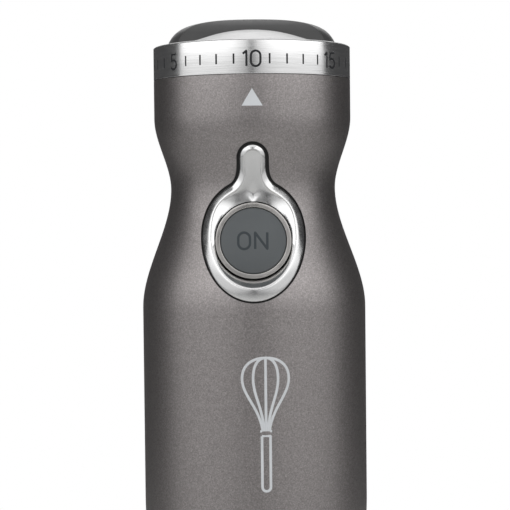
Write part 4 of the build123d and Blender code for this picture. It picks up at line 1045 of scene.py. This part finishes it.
def make_levers():
    """Release levers: softened edges and raised grip ribs across the pad."""
    pad_lift = 0.8 * mm
    rib_count = 5
    rib_spacing = 1.7 * mm
    first_rib = 3.6 * mm
    rib_radius = 0.5 * mm
    rib_reach = 4.2 * mm
    for side, name in ((1, "right"), (-1, "left")):
        lever = node_copy(f"release_lever_{name}", f"release_lever_{name}_ribbed")
        soften(lever, 0.35 * mm, 2, 50)
        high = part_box(f"release_lever_{name}")[1]
        ribs = []
        for i in range(rib_count):
            z = high.z - first_rib - i * rib_spacing
            rib = round_bar("rib", rib_radius, (-rib_reach, 0, z), (rib_reach, 0, z), 20)
            soften(rib, 0.2 * mm, 3)
            activate(rib)
            edit_all()
            bpy.ops.mesh.bisect(plane_co=(0, 0, 0), plane_no=(1, 0, 0))
            bpy.ops.object.mode_set(mode="OBJECT")
            wrap(rib, lambda z: housing_radius(z) + pad_lift, -0.2 * mm)
            rib.data.transform(Matrix.Rotation(side * math.radians(90), 4, "Z"))
            ribs.append(rib)
        join([lever] + ribs)
        dress(lever, f"lever_{name}", "black_plastic", [f"release_lever_{name}"])


def make_attachment():
    """Collar, tube and bell of the blending shaft, turned with rounded edges."""
    shaft_low, shaft_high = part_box("shaft_collar")
    flange_z = 191.8 * mm
    collar_z = shaft_low.z
    tube_radius = 16.4 * mm
    mouth = tube_radius + 1.25 * mm
    spigot = 18.7 * mm
    groove = spigot - 1.6 * mm
    groove_low = flange_z + 5.2 * mm
    groove_high = flange_z + 12.2 * mm
    bore = 9.5 * mm
    step_z = 199 * mm
    shaft_hole = 6.06 * mm
    tube_stop_z = 182.1 * mm
    socket = tube_radius + 0.05 * mm
    outline = [(mouth - 1.2 * mm, collar_z)]
    outline += corner((0, collar_z), (mouth, collar_z), (mouth, flange_z), 0.6 * mm)
    outline += bezier(
        [(mouth, collar_z + 0.6 * mm), (mouth + 0.4 * mm, collar_z + 10.8 * mm),
         (hem_radius, flange_z - 10.8 * mm), (hem_radius, flange_z - 2 * mm)], 24
    )
    outline += corner((hem_radius, collar_z), (hem_radius, flange_z), (0, flange_z), 0.5 * mm)
    outline += [(spigot, flange_z), (spigot, groove_low), (groove, groove_low),
                (groove, groove_high), (spigot, groove_high)]
    outline += corner((spigot, flange_z + 12 * mm), (spigot, shaft_high.z), (0, shaft_high.z), 1.0 * mm)
    outline += [(bore, shaft_high.z), (bore, step_z), (shaft_hole, step_z), (shaft_hole, tube_stop_z),
                (socket, tube_stop_z), (socket, collar_z)]
    collar = turned("shaft_collar_moulded", outline, 160)
    dress(collar, "blending_shaft", "black_plastic", replaces=["shaft_collar"])

    lower = 12.5 * mm
    wall = 0.9 * mm
    tube_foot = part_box("shaft_tube")[0].z
    tube_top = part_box("shaft_tube")[1].z
    bell_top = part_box("blade_bell")[1].z
    tube = turned("shaft_tube_brushed", [
        (lower, tube_foot), (lower, bell_top), (tube_radius, collar_z), (tube_radius, tube_top),
        (tube_radius - wall, tube_top), (tube_radius - wall, collar_z),
        (lower - wall, bell_top), (lower - wall, tube_foot),
    ], 160)
    dress(tube, "blending_shaft", "stainless_tube", replaces=["shaft_tube"])
    make_bell(bell_top)


def make_bell(bell_top):
    """Steel bell: a dome with a rolled rim and four arched vents."""
    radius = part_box("blade_bell")[1].x
    wall = 1.2 * mm
    hub_z = bell_top - 10 * mm
    neck = 13.85 * mm
    rim_z = 4 * mm
    hub_hole = 8 * mm
    tube_seat = 12.55 * mm
    edge = 0.4 * mm
    outline = [(hub_hole, hub_z), (tube_seat, hub_z), (tube_seat, bell_top)]
    outline += corner((tube_seat, bell_top), (neck, bell_top), (neck, hub_z), 0.5 * mm)
    outline += [(neck, hub_z + 3 * mm)]
    dome = [(neck, hub_z + 3 * mm), (neck, 0.62 * hub_z), (radius, 0.66 * hub_z), (radius, rim_z)]
    outline += bezier(dome, 30)
    outline += corner((radius, rim_z), (radius, 0), (0, 0), edge)
    outline += corner((radius, 0), (radius - wall, 0), (radius - wall, rim_z), edge)
    outline += [(radius - wall, rim_z)]
    outline += bezier([(radius - wall, rim_z), (radius - wall, 0.62 * hub_z),
                       (neck - wall, 0.58 * hub_z), (neck - wall, hub_z - 3 * mm)], 24)
    outline += [(hub_hole, hub_z - 3 * mm)]
    bell = turned("blade_bell_steel", outline, 192)
    half = 7.5 * mm
    vent = [(-half, -5 * mm), (half, -5 * mm)] + arc((0, 5 * mm), half, 0, 180, 20, 5.0 / 7.5)
    cutters = []
    for i in range(2):
        cutter = prism("vent_cutter", vent, -45 * mm, 45 * mm)
        cutter.rotation_euler = (0, 0, math.radians(90 * i))
        cutters.append(settle(cutter))
    cut(bell, *cutters)
    clean(bell)
    dress(bell, "blending_shaft", "turned_steel", ["blade_bell"])


def dress_cad_nodes():
    """Gives every CAD node that stays in view the finish of its own material slot."""
    slots = {part["node"]: part["material_slot"] for part in frame["record"]["subparts"]}
    for name, node in frame["nodes"].items():
        node.data.materials.clear()
        node.data.materials.append(FINISHES[slots[name]])


# ---------------------------------------------------------------- stage, light and camera

def panel(name, size, place, target, power, across=None, upward=None):
    """A soft rectangular light, seen only by what it lights; across and upward fade its brightness."""
    data = bpy.data.lights.new(name, "AREA")
    data.shape = "RECTANGLE"
    data.size, data.size_y = size
    data.energy = power
    light = bpy.data.objects.new(name, data)
    bpy.context.collection.objects.link(light)
    light.location = place
    light.rotation_euler = (Vector(target) - Vector(place)).to_track_quat("-Z", "Y").to_euler()
    light.visible_camera = False
    if across:
        data.use_nodes = True
        nodes = data.node_tree.nodes
        links = data.node_tree.links
        split = nodes.new("ShaderNodeSeparateXYZ")
        links.new(nodes.new("ShaderNodeNewGeometry").outputs["Parametric"], split.inputs[0])
        product = nodes.new("ShaderNodeVectorMath")
        product.operation = "MULTIPLY"
        for i, fade in enumerate((across, upward)):
            stops = [(position, grey(level)) for position, level in fade]
            links.new(colour_ramp(nodes, links, split.outputs[i], stops), product.inputs[i])
        links.new(product.outputs[0], nodes["Emission"].inputs[0])


def make_stage():
    """Pale floor, white surroundings and four soft lights."""
    deselect()
    bpy.ops.mesh.primitive_circle_add(vertices=96, radius=1.2, fill_type="NGON", location=(0, 0, -0.2 * mm))
    floor = bpy.context.object
    floor.name = "floor"
    finish = Finish("pale floor", (0.80, 0.80, 0.79), 0.6)
    finish.bump(finish.noise(60, 3), 0.05, 0.2 * mm)
    floor.data.materials.append(finish.material)

    world = bpy.data.worlds.new("surroundings")
    world.use_nodes = True
    bpy.context.scene.world = world
    nodes = world.node_tree.nodes
    links = world.node_tree.links
    background = nodes["Background"]
    seen = nodes.new("ShaderNodeLightPath").outputs["Is Camera Ray"]
    mix = nodes.new("ShaderNodeMix")
    mix.data_type = "RGBA"
    links.new(seen, mix.inputs[0])
    mix.inputs[6].default_value = (0.06, 0.06, 0.061, 1)
    mix.inputs[7].default_value = (1, 1, 1, 1)
    links.new(mix.outputs[2], background.inputs[0])

    across = [(0.0, 0.42), (0.08, 0.54), (0.20, 0.76), (0.35, 0.95), (0.5, 1.0), (0.8, 0.97), (1.0, 0.85)]
    upward = [(0.0, 0.15), (0.20, 0.24), (0.32, 0.56), (0.48, 0.54), (0.60, 0.94), (0.8, 1.2), (1.0, 1.2)]
    angle = math.radians(47)
    distance = 1.15
    for side, name in ((-1, "left panel"), (1, "right panel")):
        place = (side * distance * math.sin(angle), -distance * math.cos(angle), 0.50)
        stops = across if side > 0 else [(1 - position, level) for position, level in reversed(across)]
        panel(name, (2.22, 1.6), place, (0, 0, 0.50), 16.5, stops, upward)
    panel("back panel", (0.9, 1.1), (0, 0.95, 1.1), (0, 0, 0.40), 2.7)
    panel("top panel", (1.8, 1.5), (0, -0.25, 1.35), (0, 0, 0.33), 9.5)


def make_camera():
    """Camera a little above the button, turned and rolled by the small angles of a hand-set tripod."""
    data = bpy.data.cameras.new("camera")
    data.lens = 116.6
    data.sensor_width = 36
    data.clip_start = 0.01
    camera = bpy.data.objects.new("camera", data)
    bpy.context.collection.objects.link(camera)
    eye = Vector((0.37 * mm, -476.06 * mm, 353.99 * mm))
    down = 2.012
    lean = -0.598
    tilt = Matrix.Rotation(math.radians(90 - down), 4, "X")
    roll = Matrix.Rotation(math.radians(lean), 4, "Z")
    camera.matrix_world = Matrix.Translation(eye) @ tilt @ roll
    bpy.context.scene.camera = camera
    bpy.context.scene.view_settings.view_transform = "Standard"


make_camera()
make_stage()
dress_cad_nodes()
make_housing()
make_pointer()
make_whisk_mark()
make_dial_ring()
make_dial_scale()
make_dial_grip()
make_bezel()
make_button()
make_levers()
make_springs()
make_attachment()

deselect()
